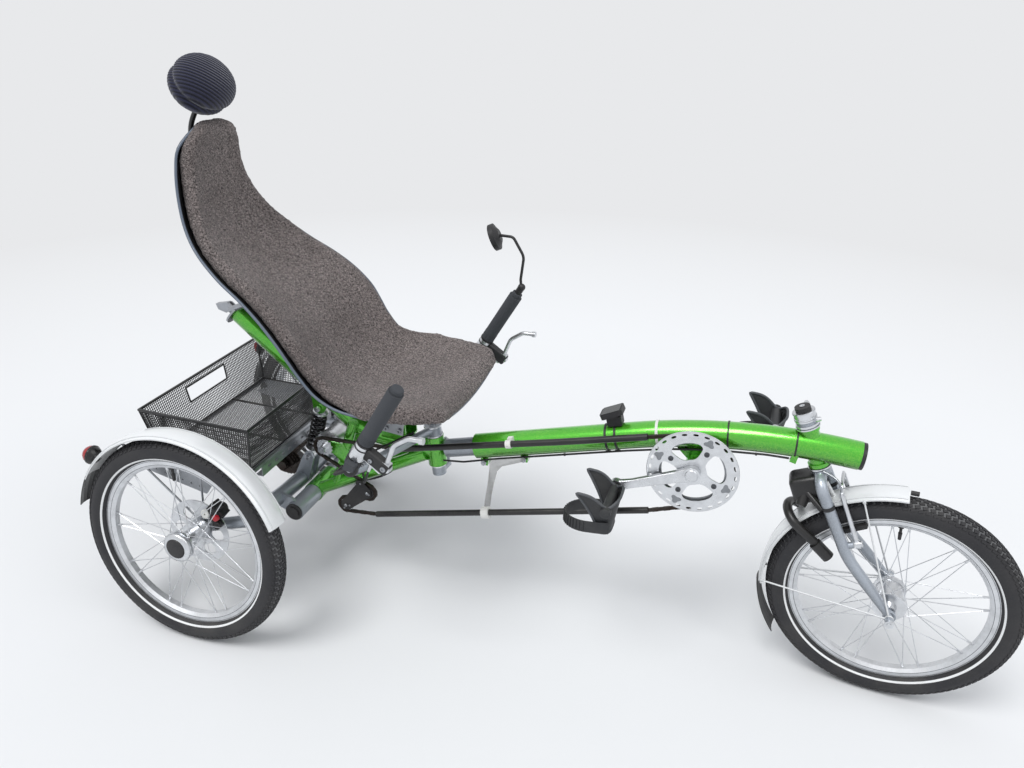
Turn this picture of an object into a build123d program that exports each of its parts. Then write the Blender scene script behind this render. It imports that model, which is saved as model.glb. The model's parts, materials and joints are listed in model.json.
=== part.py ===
"""Recumbent trike: two cambered wheels behind the seat, one steered wheel ahead of the cranks.

Millimetres. +X runs forward, +Y to the rider's left, +Z up, and the ground is at Z = 0.
Places are given with at(x, y, z), measured from the ground under the rear axle.
"""
import os
from math import asin, atan2, cos, hypot, radians, sin, sqrt, tan, tau

from build123d import *

os.makedirs("parts", exist_ok=True)

# Driving dimensions of the whole machine
rear_axle_x = -759.0        # rear axle, from the middle of the machine's length
wheelbase = 1535.0
track = 707.0               # between the rear wheels' middles, at hub height
camber = 4.5                # degrees, the rear wheels' tops lean inwards
head_lean = 24.0            # degrees, steering axis leans back from the vertical
head_x, head_z = 1320.0, 590.0
steer_rest = -5.0           # degrees, the fork as parked, turned to the right
bar_rest = -5.0             # degrees, the handlebar turns with the fork

# Wheels, 406 mm bead seat
bead_radius = 203.0
tyre_section = 27.5         # half the tyre's height and width
tyre_radius = bead_radius + 2 * tyre_section
rim_inner = 189.0
flange_top = 208.5
spoke_count = 36
spoke_radius = 1.0

# Frame tubes
boom_radius = 30.0
slide_radius = 22.5
main_radius = 24.0
lower_radius = 16.0
barrel_radius = 26.0
chain_y = -54.0             # plane of the chain, right of the frame

bottom_x, bottom_z = 1088.0, 510.0      # crank axle
axle_radius = 8.0           # cranks and rear stub axles
front_axle_radius = 5.0
running = 0.05              # clearance round a turning shaft
crank_length = 165.0
crank_drop = 20.0           # degrees, the right crank points back and down
arch_radius = 1300.0        # boom's curve over the cranks
arch_turn = 20.5            # degrees
boom_back_x, boom_back_z = 582.0, 438.0
arch_x, arch_z = 950.0, 541.2

pivot_x, pivot_z = 150.0, 236.0         # rear swing frame's pivot
cross_x, cross_z = 100.0, 250.0         # swing frame's cross tube


def at(x, y, z):
    """A place measured forward, left and up from the ground under the rear axle."""
    return Vector(rear_axle_x + x, y, z)


def rod(start, end, radius, inner=0.0, mode=Mode.ADD):
    """A round bar or tube between two places."""
    run = end - start
    with BuildSketch(Plane(origin=start, z_dir=run)) as end_face:
        Circle(radius)
        if inner:
            Circle(inner, mode=Mode.SUBTRACT)
    extrude(end_face.sketch, amount=run.length, mode=mode)


def cone(start, end, start_radius, end_radius):
    """A round bar that tapers between two places."""
    run = end - start
    with BuildSketch(Plane(origin=start, z_dir=run)) as first:
        Circle(start_radius)
    with BuildSketch(Plane(origin=end, z_dir=run)) as last:
        Circle(end_radius)
    loft([first.sketch, last.sketch])


def bent_rod(places, bends, radius, inner=0.0):
    """A round bar or tube through several places, with one bend radius for each corner."""
    with BuildLine() as route:
        FilletPolyline(*places, radius=bends)
    start = route.line @ 0
    with BuildSketch(Plane(origin=start, z_dir=route.line % 0)) as end_face:
        Circle(radius)
        if inner:
            Circle(inner, mode=Mode.SUBTRACT)
    sweep(end_face.sketch, path=route.line)


def plate(plane, points, thickness):
    """A flat plate from its outline, half its thickness each side of the plane."""
    with BuildSketch(plane) as outline:
        with BuildLine():
            Polyline(*points, close=True)
        make_face()
    extrude(outline.sketch, amount=thickness / 2, both=True)


def side_plane(y):
    """An upright plane along the machine: X forward, Y up, from the ground under the rear axle."""
    return Plane(origin=at(0, y, 0), x_dir=(1, 0, 0), z_dir=(0, -1, 0))


def toothed(count, root, tip):
    """Outline points of a cog with straight-sided teeth."""
    points = []
    for tooth in range(count):
        for part, radius in ((0.0, root), (0.3, tip), (0.5, tip), (0.8, root)):
            turn = tau * (tooth + part) / count
            points.append((radius * cos(turn), radius * sin(turn)))
    return points


def other_side(piece):
    """The left-hand twin of a right-hand piece."""
    with BuildPart() as twin:
        add(piece)
        mirror(about=Plane.XZ, mode=Mode.REPLACE)
    return twin.part


steer_axis = Axis(at(head_x, 0, head_z), (-sin(radians(head_lean)), 0, cos(radians(head_lean))))
bar_lean = 7.5              # degrees, the handlebar's axis leans back from the vertical
bar_x, bar_z = 476.5, 400.0
bar_axis = Axis(at(bar_x, 0, bar_z), (-sin(radians(bar_lean)), 0, cos(radians(bar_lean))))


def steered(piece):
    """A piece of the fork, turned to where it stands when parked."""
    return piece.rotate(steer_axis, steer_rest)


def turned(piece):
    """A piece of the handlebar, turned to where it stands when parked."""
    return piece.rotate(bar_axis, bar_rest)


def swung(place, axis, degrees):
    """A place turned about an axis."""
    return (place - axis.position).rotate(axis, degrees) + axis.position


def keep(piece, name):
    """Label a finished piece and write it out."""
    piece.label = name
    export_step(piece, f"parts/{name}.step")


# Wheel planes: local X forward, local Y up, local Z out to the right
tread_half = 3.5
hub_z = tyre_radius * cos(radians(camber)) + tread_half * sin(radians(camber))
wheel_right = Plane(
    origin=at(0, -track / 2, hub_z),
    x_dir=(1, 0, 0),
    z_dir=(0, -cos(radians(camber)), sin(radians(camber))),
)
wheel_front = Plane(origin=at(wheelbase, 0, tyre_radius), x_dir=(1, 0, 0), z_dir=(0, -1, 0))


def section_plane(wheel, start_deg=0.0):
    """A plane through the wheel's axis: X runs out along a radius, Y along the axis."""
    turn = radians(start_deg)
    along = wheel.x_dir * cos(turn) + wheel.y_dir * sin(turn)
    across = wheel.y_dir * cos(turn) - wheel.x_dir * sin(turn)
    return Plane(origin=wheel.origin, x_dir=along, z_dir=-across)


def wheel_axis(wheel):
    return Axis(wheel.origin, wheel.z_dir)


def on_wheel(wheel, angle, radius, out):
    """A place by its angle up from forward, its radius and its distance out along the axis."""
    turn = radians(angle)
    return wheel.from_local_coords((radius * cos(turn), radius * sin(turn), out))


# Tyre: open horseshoe section of straight bands that closes on the rim
# columns: radius, half width
tyre_rows = (
    (209.5, 17.755), (219.0, 25.0), (231.0, 27.5), (242.5, 24.8), (250.5, 18.6), (255.5, 11.5),
    (tyre_radius, tread_half),
)


def make_tyre(wheel):
    seat_half, shoulder_r = 10.2, tyre_rows[0][0]
    with BuildPart() as tyre:
        with BuildSketch(section_plane(wheel)):
            with BuildLine():
                Polyline(
                    *tyre_rows,
                    *[(r, -half) for r, half in reversed(tyre_rows)],
                    (shoulder_r, -seat_half),
                    (bead_radius + 0.3, -seat_half),
                    (bead_radius + 0.3, seat_half),
                    (shoulder_r, seat_half),
                    close=True,
                )
            make_face()
        revolve(axis=wheel_axis(wheel))
    return tyre.part


# Rim: double wall with brake flanks
def make_rim(wheel):
    flank, lip, inner_half, flank_r = 12.5, 10.5, 7.0, 196.0
    with BuildPart() as rim:
        with BuildSketch(section_plane(wheel)):
            with BuildLine():
                Polyline(
                    (flange_top, -flank),
                    (flank_r, -flank),
                    (rim_inner, -inner_half),
                    (rim_inner, inner_half),
                    (flank_r, flank),
                    (flange_top, flank),
                    (flange_top, lip),
                    (bead_radius, lip),
                    (bead_radius, -lip),
                    (flange_top, -lip),
                    close=True,
                )
            make_face()
        revolve(axis=wheel_axis(wheel))
    return rim.part


# Hub: turned shell between two flanges, with its crossed spokes
def make_hub(wheel, profile, flanges, flange_r, bore_r, bore_out, disc=None):
    """profile rows are (distance out along the axis, radius); the bore ends at bore_out."""
    with BuildPart() as hub:
        with BuildSketch(section_plane(wheel)):
            with BuildLine():
                Polyline(
                    (0, profile[0][0]),
                    *[(r, out) for out, r in profile],
                    (0, profile[-1][0]),
                    close=True,
                )
            make_face()
        revolve(axis=wheel_axis(wheel))
        if disc:
            disc_out, disc_r, disc_half = disc
            with BuildSketch(wheel.offset(disc_out - disc_half)):
                Circle(disc_r)
                with PolarLocations(disc_r * 0.62, 6):
                    Circle(disc_r * 0.20, mode=Mode.SUBTRACT)
            extrude(amount=2 * disc_half)
        with BuildSketch(wheel.offset(profile[0][0] - 1)):
            Circle(bore_r)
        extrude(amount=bore_out - profile[0][0] + 1, mode=Mode.SUBTRACT)
        step = 360 / (spoke_count / 2)
        cross = 3 * step + step / 2
        for side, out in enumerate(flanges):
            for index in range(spoke_count // 4):
                for lean in (-1, 1):
                    foot = (index * 2 + side * 0.5) * step + (lean > 0) * step
                    rim_at = foot + lean * cross
                    start = on_wheel(wheel, foot, flange_r - 3, out)
                    end = on_wheel(wheel, rim_at, rim_inner + 0.5, 0)
                    with BuildSketch(Plane(origin=start, z_dir=end - start)) as wire:
                        RegularPolygon(spoke_radius, 6)
                    extrude(wire.sketch, amount=(end - start).length)
    return hub.part


# Rear hub: distance out along the axis, radius
rear_profile = (
    (-52, 10), (-52, 22), (-40, 22), (-38, 16), (-33, 16), (-32, 31), (-28, 31), (-27, 19),
    (15, 21), (17, 36), (21, 36), (23, 27), (32, 24), (32, 17), (36, 17),
)
front_profile = (
    (-48, 7), (-48, 12), (-32, 15), (-32, 34), (-28, 34), (-26, 29), (26, 29), (28, 34),
    (32, 34), (32, 15), (48, 12),
)
rear_disc = (-50.0, 80.0, 1.0)

tyre_r = make_tyre(wheel_right)
rim_r = make_rim(wheel_right)
hub_r = make_hub(wheel_right, rear_profile, (19, -30), 33, axle_radius + running, 28, rear_disc)
keep(tyre_r, "tyre_right")
keep(rim_r, "rim_right")
keep(hub_r, "hub_right")
keep(other_side(tyre_r), "tyre_left")
keep(other_side(rim_r), "rim_left")
keep(other_side(hub_r), "hub_left")
keep(steered(make_tyre(wheel_front)), "tyre_front")
keep(steered(make_rim(wheel_front)), "rim_front")
hub_f = make_hub(wheel_front, front_profile, (30, -30), 32, front_axle_radius + running, 50)
keep(steered(hub_f), "hub_front")

# Boom: straight from its socket, then a long gentle arch over the cranks
steerer_radius = 14.0
head_middle = at(head_x, 0, head_z)
head_down = -steer_axis.direction
lug_bolt = 4.0
with BuildPart() as boom:
    with BuildLine(Plane.XZ) as boom_line:
        rise = Line((rear_axle_x + boom_back_x, boom_back_z), (rear_axle_x + arch_x, arch_z))
        JernArc(start=rise @ 1, tangent=rise % 1, radius=arch_radius, arc_size=-arch_turn)
    with BuildSketch(Plane(origin=boom_line.line @ 0, z_dir=boom_line.line % 0)):
        Circle(boom_radius)
    sweep(path=boom_line.line)
    # head tube, square to the fork's axis, with a collar at each end
    rod(head_middle - head_down * 46, head_middle + head_down * 44, 19)
    rod(head_middle - head_down * 46, head_middle - head_down * 38, 22)
    rod(head_middle + head_down * 36, head_middle + head_down * 44, 22)
    # bottom bracket shell below the boom
    rod(at(bottom_x, -34, bottom_z), at(bottom_x, 34, bottom_z), 20)
    plate(
        Plane(origin=at(bottom_x, 0, bottom_z), x_dir=(1, 0, 0), z_dir=(0, -1, 0)),
        [(-62, 48), (-16, 4), (16, 4), (44, 56)],
        30,
    )
    # clamp ears under the back end, each with its bolt
    for x, z in ((605, 407), (703, 436)):
        plate(side_plane(0), [(x - 10, z + 14), (x - 8, z - 10), (x + 8, z - 10), (x + 10, z + 14)], 26)
        rod(at(x, -18, z), at(x, 18, z), lug_bolt)
    # cable stop before the head
    plate(side_plane(-20), [(1281, 576), (1277, 556), (1290, 553), (1294, 578)], 9)
    with Locations(Plane(origin=head_middle, z_dir=head_down)):
        Cylinder(steerer_radius + running, 120, mode=Mode.SUBTRACT)
    with Locations(Plane(origin=at(bottom_x, 0, bottom_z), z_dir=(0, 1, 0))):
        Cylinder(axle_radius + running, 90, mode=Mode.SUBTRACT)
keep(boom.part, "boom")

boom_end = boom_line.line @ 1
boom_end_dir = boom_line.line % 1

# Grey sliding tube between the rear frame and the boom
boom_back = at(boom_back_x, 0, boom_back_z)
slide_dir = (at(arch_x, 0, arch_z) - boom_back).normalized()
with BuildPart() as boom_slide:
    rod(boom_back - slide_dir * 80, boom_back - slide_dir * 0.5, slide_radius)
keep(boom_slide.part, "boom_slide")

# Rear frame
bar_dir = bar_axis.direction
bar_middle = at(bar_x, 0, bar_z)
bar_stem_radius = 10.0
gear_x, gear_z = 199.0, 385.0
gear_axle = 5.0
shock_low, shock_high = at(128, 0, 324), at(168, 0, 470)
eye_bolt = 4.0
tube_end, tube_bend, tube_front = at(-45, 0, 688), at(285, 0, 422), at(470, 0, 408)
with BuildPart() as main_frame:
    rod(bar_middle - bar_dir * 30, bar_middle + bar_dir * 46, 23)
    bent_rod([tube_end, tube_bend, tube_front], [140], main_radius)
    rod(at(pivot_x, -46, pivot_z), at(pivot_x, 46, pivot_z), barrel_radius)
    for side in (-1, 1):
        rod(at(158, 30 * side, 240), at(455, 14 * side, 398), lower_radius)
        rod(at(213, 30 * side, 270), at(270, 30 * side, 458), 12.5)
        # ear that holds the gear hub's axle
        plate(
            side_plane(42 * side),
            [(190, 374), (205, 372), (246, 338), (258, 376), (246, 396), (206, 398), (190, 396)],
            4,
        )
        # seat ears on top of the main tube
        plate(side_plane(30 * side), [(345, 436), (352, 476), (408, 476), (412, 430)], 4)
        # ears for the shock absorber's top eye
        plate(side_plane(15 * side), [(148, 520), (196, 486), (182, 460), (168, 454), (154, 462)], 4)
    plate(side_plane(0), [(345, 438), (345, 433), (412, 428), (412, 433)], 62)
    # boss for the chain tensioner
    rod(at(290, -20, 303), at(290, -46.4, 303), 7)
    rod(at(gear_x, -60, gear_z), at(gear_x, 60, gear_z), gear_axle + 0.2, mode=Mode.SUBTRACT)
    rod(shock_high - Vector(0, 30, 0), shock_high + Vector(0, 30, 0), eye_bolt + 0.2, mode=Mode.SUBTRACT)
    with Locations(Plane(origin=bar_middle, z_dir=bar_dir)):
        Cylinder(bar_stem_radius + running, 140, mode=Mode.SUBTRACT)
keep(main_frame.part, "main_frame")

# Swing frame that carries the rear wheels
slope = tan(radians(camber))
carrier_out = -74.0
with BuildPart() as swing_frame:
    for side in (-1, 1):
        rod(at(cross_x, 0, cross_z), at(cross_x, 250 * side, cross_z + 250 * slope), 20)
        rod(at(pivot_x, 46.3 * side, pivot_z), at(pivot_x, 138 * side, pivot_z), 24)
        hub_side = on_wheel(wheel_right, 0, 0, carrier_out)
        axle_in = Vector(hub_side.X, -side * hub_side.Y, hub_side.Z)
        rod(axle_in, at(cross_x, 250 * side, cross_z + 250 * slope), 15)
        collar = on_wheel(wheel_right, 0, 0, -60)
        rod(axle_in, Vector(collar.X, -side * collar.Y, collar.Z), 20)
        stub = on_wheel(wheel_right, 0, 0, 27)
        rod(axle_in, Vector(stub.X, -side * stub.Y, stub.Z), axle_radius)
        plate(
            Plane(origin=at(cross_x, 128 * side, cross_z), x_dir=(1, 0, 0), z_dir=(0, -1, 0)),
            [(-22, -6), (10, -14), (60, -36), (72, -10), (40, 20), (0, 30), (-20, 20)],
            8,
        )
        plate(
            Plane(origin=at(cross_x, 16 * side, cross_z), x_dir=(1, 0, 0), z_dir=(0, -1, 0)),
            [(-22, 0), (22, 0), (42, 70), (36, 86), (20, 86), (10, 70)],
            6,
        )
    rod(shock_low - Vector(0, 30, 0), shock_low + Vector(0, 30, 0), eye_bolt + 0.2, mode=Mode.SUBTRACT)
keep(swing_frame.part, "swing_frame")

# Shock absorber: body, shaft, two spring seats, an eye and a bolt at each end
shock_dir = (shock_high - shock_low).normalized()
spring_low, spring_high = 22.0, 128.0       # spring's ends, up from the lower eye
with BuildPart() as shock_absorber:
    rod(shock_low, shock_high, 6)
    rod(shock_low + shock_dir * 60, shock_low + shock_dir * (spring_high + 3), 11)
    rod(shock_low + shock_dir * (spring_low - 6), shock_low + shock_dir * (spring_low - 1), 20)
    rod(shock_low + shock_dir * (spring_high + 1), shock_low + shock_dir * (spring_high + 6), 20)
    for eye in (shock_low, shock_high):
        rod(eye + Vector(0, -11, 0), eye + Vector(0, 11, 0), 12)
        rod(eye + Vector(0, -24, 0), eye + Vector(0, 24, 0), eye_bolt)
        for side in (-1, 1):
            rod(eye + Vector(0, 20 * side, 0), eye + Vector(0, 25 * side, 0), 7.5)
keep(shock_absorber.part, "shock_absorber")

coil_radius, coil_wire, coil_turns = 16.5, 3.3, 8
with BuildPart() as shock_spring:
    with BuildLine() as coil:
        Helix(
            pitch=(spring_high - spring_low - 2 * coil_wire) / coil_turns,
            height=spring_high - spring_low - 2 * coil_wire,
            radius=coil_radius,
            center=shock_low + shock_dir * (spring_low + coil_wire),
            direction=shock_dir,
        )
    with BuildSketch(Plane(origin=coil.line @ 0, z_dir=coil.line % 0)):
        RegularPolygon(coil_wire, 6)
    sweep(path=coil.line, is_frenet=True)
keep(shock_spring.part, "shock_spring")

# Black caps in the open tube ends
with BuildPart() as end_plugs:
    for side in (-1, 1):
        rod(at(pivot_x, 138.2 * side, pivot_z), at(pivot_x, 142 * side, pivot_z), 22)
        rod(at(pivot_x, 141 * side, pivot_z), at(pivot_x, 145 * side, pivot_z), 15)
    rod(boom_end + boom_end_dir * 0.2, boom_end + boom_end_dir * 8, 28.5)
keep(end_plugs.part, "end_plugs")

# Gear hub between the chainring and the rear axle
# columns: distance to the left, radius
gear_rows = (
    (-38, 12), (-38, 20), (-33, 33), (-29, 33), (-27, 29), (27, 29), (29, 33), (33, 33), (38, 20),
    (38, 12),
)
gear_middle = at(gear_x, 0, gear_z)
with BuildPart() as gear_hub:
    with BuildSketch(Plane(origin=gear_middle, x_dir=(1, 0, 0), z_dir=(0, 0, 1))):
        with BuildLine():
            Polyline((0, -38), *[(radius, out) for out, radius in gear_rows], (0, 38), close=True)
        make_face()
    revolve(axis=Axis(gear_middle, (0, 1, 0)))
    rod(gear_middle - Vector(0, 66, 0), gear_middle + Vector(0, 66, 0), gear_axle)
    for side in (-1, 1):
        rod(gear_middle + Vector(0, 61 * side, 0), gear_middle + Vector(0, 68 * side, 0), 9)
    # one sprocket at each side
    with BuildSketch(side_plane(-55)):
        with Locations((gear_x, gear_z)):
            Polygon(*toothed(13, 19.5, 22), align=None)
    extrude(amount=-2)
    with BuildSketch(side_plane(53)):
        with Locations((gear_x, gear_z)):
            Polygon(*toothed(9, 11.5, 14), align=None)
    extrude(amount=-2)
    rod(gear_middle - Vector(0, 61, 0), gear_middle - Vector(0, 44.5, 0), 10)
    rod(gear_middle + Vector(0, 44.5, 0), gear_middle + Vector(0, 61, 0), 10)
keep(gear_hub.part, "gear_hub")

# Rear cogs and the shaft that drives the left wheel
cog_out = -301.4            # from the wheel's middle, in along its axis
with BuildPart() as cassette:
    for tooth_count, tip, shift in ((8, 16, 0), (17, 28, 7), (21, 34, 10.6), (25, 40, 14.2), (29, 46, 17.8)):
        with BuildSketch(wheel_right.offset(cog_out + shift)):
            Polygon(*toothed(tooth_count, tip - 2.5, tip), align=None)
        extrude(amount=1.8)
    with BuildSketch(wheel_right.offset(cog_out - 8)):
        Circle(12)
    extrude(amount=30)
    with BuildSketch(wheel_right.offset(cog_out - 8)):
        Circle(8)
    extrude(amount=carrier_out - cog_out + 8 - 18.5)
keep(other_side(cassette.part), "cassette")

# Chain tensioner below the frame: two plates and two guide wheels
jockeys = ((251, 230), (313, 279))
jockey_radius = 15.8
with BuildPart() as chain_tensioner:
    for y in (-47.8, -60.4):
        plate(
            side_plane(y),
            [(240, 222), (250, 217), (261, 220), (323, 270), (323, 288), (299, 313), (284, 310),
             (282, 297), (240, 240)],
            2,
        )
    for x, z in jockeys:
        rod(at(x, -51, z), at(x, -57, z), jockey_radius)
        rod(at(x, -48, z), at(x, -62.5, z), 4)
keep(chain_tensioner.part, "chain_tensioner")

# Chain tubes: hollow hoses round the chain's long runs
hose_radius, hose_inner = 7.5, 6.2
upper_hose = [at(399, chain_y, 421), at(796, chain_y, 521), at(986, chain_y, 572)]
lower_hose = [at(334, chain_y, 218), at(1005, chain_y, 390)]
with BuildPart() as chain_tubes:
    bent_rod(upper_hose, [600], hose_radius, hose_inner)
    rod(*lower_hose, hose_radius, hose_inner)
keep(chain_tubes.part, "chain_tubes")

# Clear hanger from the boom's clamp down to a clip round the lower hose
with BuildPart() as chain_hanger:
    plate(
        side_plane(-40),
        [(633, 450), (707, 462), (694, 424), (642, 338), (636, 296), (614, 291), (622, 342),
         (634, 400)],
        3,
    )
    hose_way = (lower_hose[1] - lower_hose[0]).normalized()
    clip = lower_hose[0] + hose_way * 300
    rod(clip - hose_way * 8, clip + hose_way * 8, 14, hose_radius + 0.2)
keep(chain_hanger.part, "chain_hanger")

# Chain: one box for each link, narrow and wide by turns
link_pitch, link_length, link_height = 12.7, 14.0, 7.5
narrow_link, wide_link = 5.0, 7.0


def straight_run(wheel, following):
    """Start, end and heading of the chain between two wheels: x, z, radius, turn (1 anticlockwise)."""
    x, z, radius, turn = wheel
    next_x, next_z, next_radius, next_turn = following
    across = hypot(next_x - x, next_z - z)
    heading = atan2(next_z - z, next_x - x) - asin((next_turn * next_radius - turn * radius) / across)
    start = (x + turn * radius * sin(heading), z - turn * radius * cos(heading))
    end = (next_x + next_turn * next_radius * sin(heading), next_z - next_turn * next_radius * cos(heading))
    return start, end, heading


def link_places(wheels, open_runs, closed):
    """Places and headings of the links over the open runs and the wheels between them."""
    pairs = list(zip(wheels, wheels[1:] + (wheels[:1] if closed else [])))
    runs = [straight_run(*pair) for pair in pairs]
    places = []
    ahead = 0.0
    for index, (start, end, heading) in enumerate(runs):
        length = hypot(end[0] - start[0], end[1] - start[1])
        if index in open_runs:
            while ahead < length:
                places.append((start[0] + ahead * cos(heading), start[1] + ahead * sin(heading), heading))
                ahead += link_pitch
            ahead -= length
        else:
            ahead = 0.0
        if index + 1 == len(runs) and not closed:
            break
        x, z, radius, turn = pairs[index][1]
        if radius:
            bend = (turn * (runs[(index + 1) % len(runs)][2] - heading)) % tau
            while ahead < radius * bend:
                angle = heading + turn * ahead / radius
                places.append((x + turn * radius * sin(angle), z - turn * radius * cos(angle), angle))
                ahead += link_pitch
            ahead -= radius * bend
    return places


def links(places, y):
    """The links at these places, joined end to end."""
    for width, share in ((narrow_link, places[0::2]), (wide_link, places[1::2])):
        spots = [
            Location(Plane(origin=at(x, y, z), x_dir=(cos(turn), 0, sin(turn)), z_dir=(0, -1, 0)))
            for x, z, turn in share
        ]
        with Locations(*spots):
            Box(link_length, link_height, width)


front_loop = [(986, 572, 0, -1), (bottom_x, bottom_z, 85, -1), (1005, 390, 0, -1)]
back_loop = [
    (334, 218, 0, -1), (*jockeys[0], 20, -1), (*jockeys[1], 20, 1), (gear_x, gear_z, 26, -1),
    (399, 421, 0, -1),
]
cog_place = on_wheel(wheel_right, 0, 0, cog_out + 1)
left_loop = [(gear_x, gear_z, 18, -1), (cog_place.X - rear_axle_x, cog_place.Z, 20, -1)]
with BuildPart() as front_links:
    links(link_places(front_loop, (0, 1), False), chain_y)
with BuildPart() as back_links:
    links(link_places(back_loop, (0, 1, 2, 3), False), chain_y)
with BuildPart() as left_links:
    links(link_places(left_loop, (0, 1), True), -chain_y)
with BuildPart() as chain:
    add(front_links.part)
    add(back_links.part)
    add(left_links.part)
    # inside the hoses
    for start, end in zip(upper_hose + lower_hose[:1], upper_hose[1:] + [None] + lower_hose[1:]):
        if end:
            way = (end - start).normalized()
            rod(start + way * 10, end - way * 10, 3)
keep(chain.part, "chain")

# Seat shell. Columns: edge x, edge z, half width, depth behind the edge, lean of the depth
seat_rows = (
    (-56, 1141, 34, 4, 5),
    (-74, 1096, 100, 14, 2),
    (-76, 1050, 118, 22, 0),
    (-66, 990, 132, 30, 13),
    (-41, 931, 150, 38, 28),
    (-1, 886, 172, 46, 41),
    (56, 842, 190, 52, 50),
    (113, 808, 203, 54, 50),
    (163, 771, 214, 56, 47),
    (205, 728, 221, 58, 40),
    (230, 691, 220, 60, 35),
    (253, 655, 217, 60, 38),
    (286, 618, 216, 60, 54),
    (333, 595, 216, 60, 72),
    (394, 588, 217, 52, 86),
    (450, 587, 212, 44, 92),
    (500, 588, 200, 34, 93),
    (548, 588, 180, 24, 94),
    (588, 587, 134, 10, 95),
)
shell_wall = 5.0


def seat_plane(row):
    """A crosswise plane: X to the left, Y either way along the depth, and the sign of deeper."""
    x, z, half, depth, lean = row
    turn = radians(lean)
    back = Vector(-cos(turn), 0, -sin(turn))
    plane = Plane(origin=at(x, 0, z), x_dir=(0, 1, 0), z_dir=Vector(0, 1, 0).cross(back))
    return plane, (1 if plane.y_dir.dot(back) > 0 else -1)


def bowl(row, y):
    """How deep the shell's inner face lies behind the edge line, at a distance from the middle."""
    half, depth = row[2], row[3]
    round_radius = (half * half + depth * depth) / (2 * depth)
    return depth - round_radius + sqrt(round_radius * round_radius - y * y)


def shell_section(row):
    """The shell's crosswise section: one arc in front, one behind."""
    half, depth = row[2], row[3]
    plane, sign = seat_plane(row)
    with BuildSketch(plane) as section:
        with BuildLine():
            ThreePointArc((-half, 0), (0, sign * depth), (half, 0))
            Line((half, 0), (half, sign * shell_wall))
            ThreePointArc((half, sign * shell_wall), (0, sign * (depth + shell_wall)), (-half, sign * shell_wall))
            Line((-half, sign * shell_wall), (-half, 0))
        make_face()
    return section.sketch


with BuildPart() as seat_shell:
    loft([shell_section(row) for row in seat_rows], ruled=True)
keep(seat_shell.part, "seat_shell")

# Seat mat: lies in the shell, its sides set in from the shell's lip
mat_gap, mat_thick, mat_inset = 2.0, 34.0, 13.0


def mat_section(row):
    """The mat's section, with its top edges cut off."""
    plane, sign = seat_plane(row)
    side = row[2] - mat_inset
    top = side - 12
    low = sign * (bowl(row, side) - mat_gap)
    high = sign * (bowl(row, top) - mat_thick)
    shoulder = low - sign * (mat_thick - 14)
    with BuildSketch(plane) as section:
        with BuildLine():
            ThreePointArc((-side, low), (0, sign * (row[3] - mat_gap)), (side, low))
            Line((side, low), (side, shoulder))
            Line((side, shoulder), (top, high))
            ThreePointArc((top, high), (0, sign * (row[3] - mat_thick)), (-top, high))
            Line((-top, high), (-side, shoulder))
            Line((-side, shoulder), (-side, low))
        make_face()
    return section.sketch


with BuildPart() as seat_cushion:
    loft([mat_section(row) for row in seat_rows[1:-1]], ruled=True)
keep(seat_cushion.part, "seat_cushion")

# Headrest pad, stepped out from its seam to front and back
# columns: distance forward, share of the full outline
pad_rows = ((0, 0.60), (10, 0.84), (32, 1.0), (60, 1.0), (82, 0.84), (92, 0.60))
with BuildPart() as headrest:
    pad_sections = []
    for forward, share in pad_rows:
        with BuildSketch(
            Plane(origin=at(-112 + forward, 0, 1206 + 0.12 * forward), x_dir=(0, 1, 0), z_dir=(1, 0, 0.12))
        ) as pad_section:
            Ellipse(94 * share, 62 * share)
        pad_sections.append(pad_section.sketch)
    loft(pad_sections, ruled=True)
keep(headrest.part, "headrest")

with BuildPart() as headrest_stem:
    plate(
        side_plane(0),
        [(-120, 1050), (-114, 1050), (-110, 1100), (-100, 1150), (-106, 1150), (-116, 1100)],
        40,
    )
    # clamp block behind the shell
    plate(side_plane(0), [(-113.8, 1062), (-104, 1062), (-100, 1096), (-110.5, 1096)], 52)
keep(headrest_stem.part, "headrest_stem")

# Seat brackets: front stand on the frame's ears, rear plate and struts on the tube's end
end_way = (tube_end - tube_bend).normalized()
with BuildPart() as seat_brackets:
    for side in (-1, 1):
        plate(side_plane(34.2 * side), [(350, 452), (405, 448), (412, 526), (342, 522)], 4)
        rod(at(-52, 22 * side, 700), at(66, 22 * side, 756), 8)
    plate(side_plane(0), [(340, 520), (414, 524), (414, 528), (340, 524)], 110)
    rod(tube_end + end_way * 0.4, tube_end + end_way * 5, 36)
    # hook under the end plate
    rod(tube_end + end_way * 4, tube_end + end_way * 30, 9)
    plate(side_plane(0), [(-70, 712), (-58, 700), (-76, 684), (-98, 690), (-104, 704), (-94, 706)], 14)
keep(seat_brackets.part, "seat_brackets")

# Wire basket between the rear wheels
basket_back, basket_front, basket_half = -175, 118, 240
basket_top, basket_floor = 512, 392
basket_middle = (basket_back + basket_front) / 2
with BuildPart() as basket:
    with BuildSketch(Plane(origin=at(basket_middle, 0, basket_floor))):
        RectangleRounded(basket_front - basket_back - 40, 2 * basket_half - 40, 20)
    with BuildSketch(Plane(origin=at(basket_middle, 0, basket_top))):
        RectangleRounded(basket_front - basket_back, 2 * basket_half, 20)
    loft()
    offset(amount=-3, openings=basket.faces().sort_by(Axis.Z)[-1])
    # rim
    with BuildSketch(Plane(origin=at(basket_middle, 0, basket_top - 6))):
        RectangleRounded(basket_front - basket_back + 6, 2 * basket_half + 6, 22)
        RectangleRounded(basket_front - basket_back - 6, 2 * basket_half - 6, 18, mode=Mode.SUBTRACT)
    extrude(amount=8)
    # hand hole in the rear wall
    with BuildSketch(Plane(origin=at(basket_back - 20, 0, 483), x_dir=(0, 1, 0), z_dir=(1, 0, 0))):
        RectangleRounded(160, 26, 12)
    extrude(amount=60, mode=Mode.SUBTRACT)
keep(basket.part, "basket")

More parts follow.
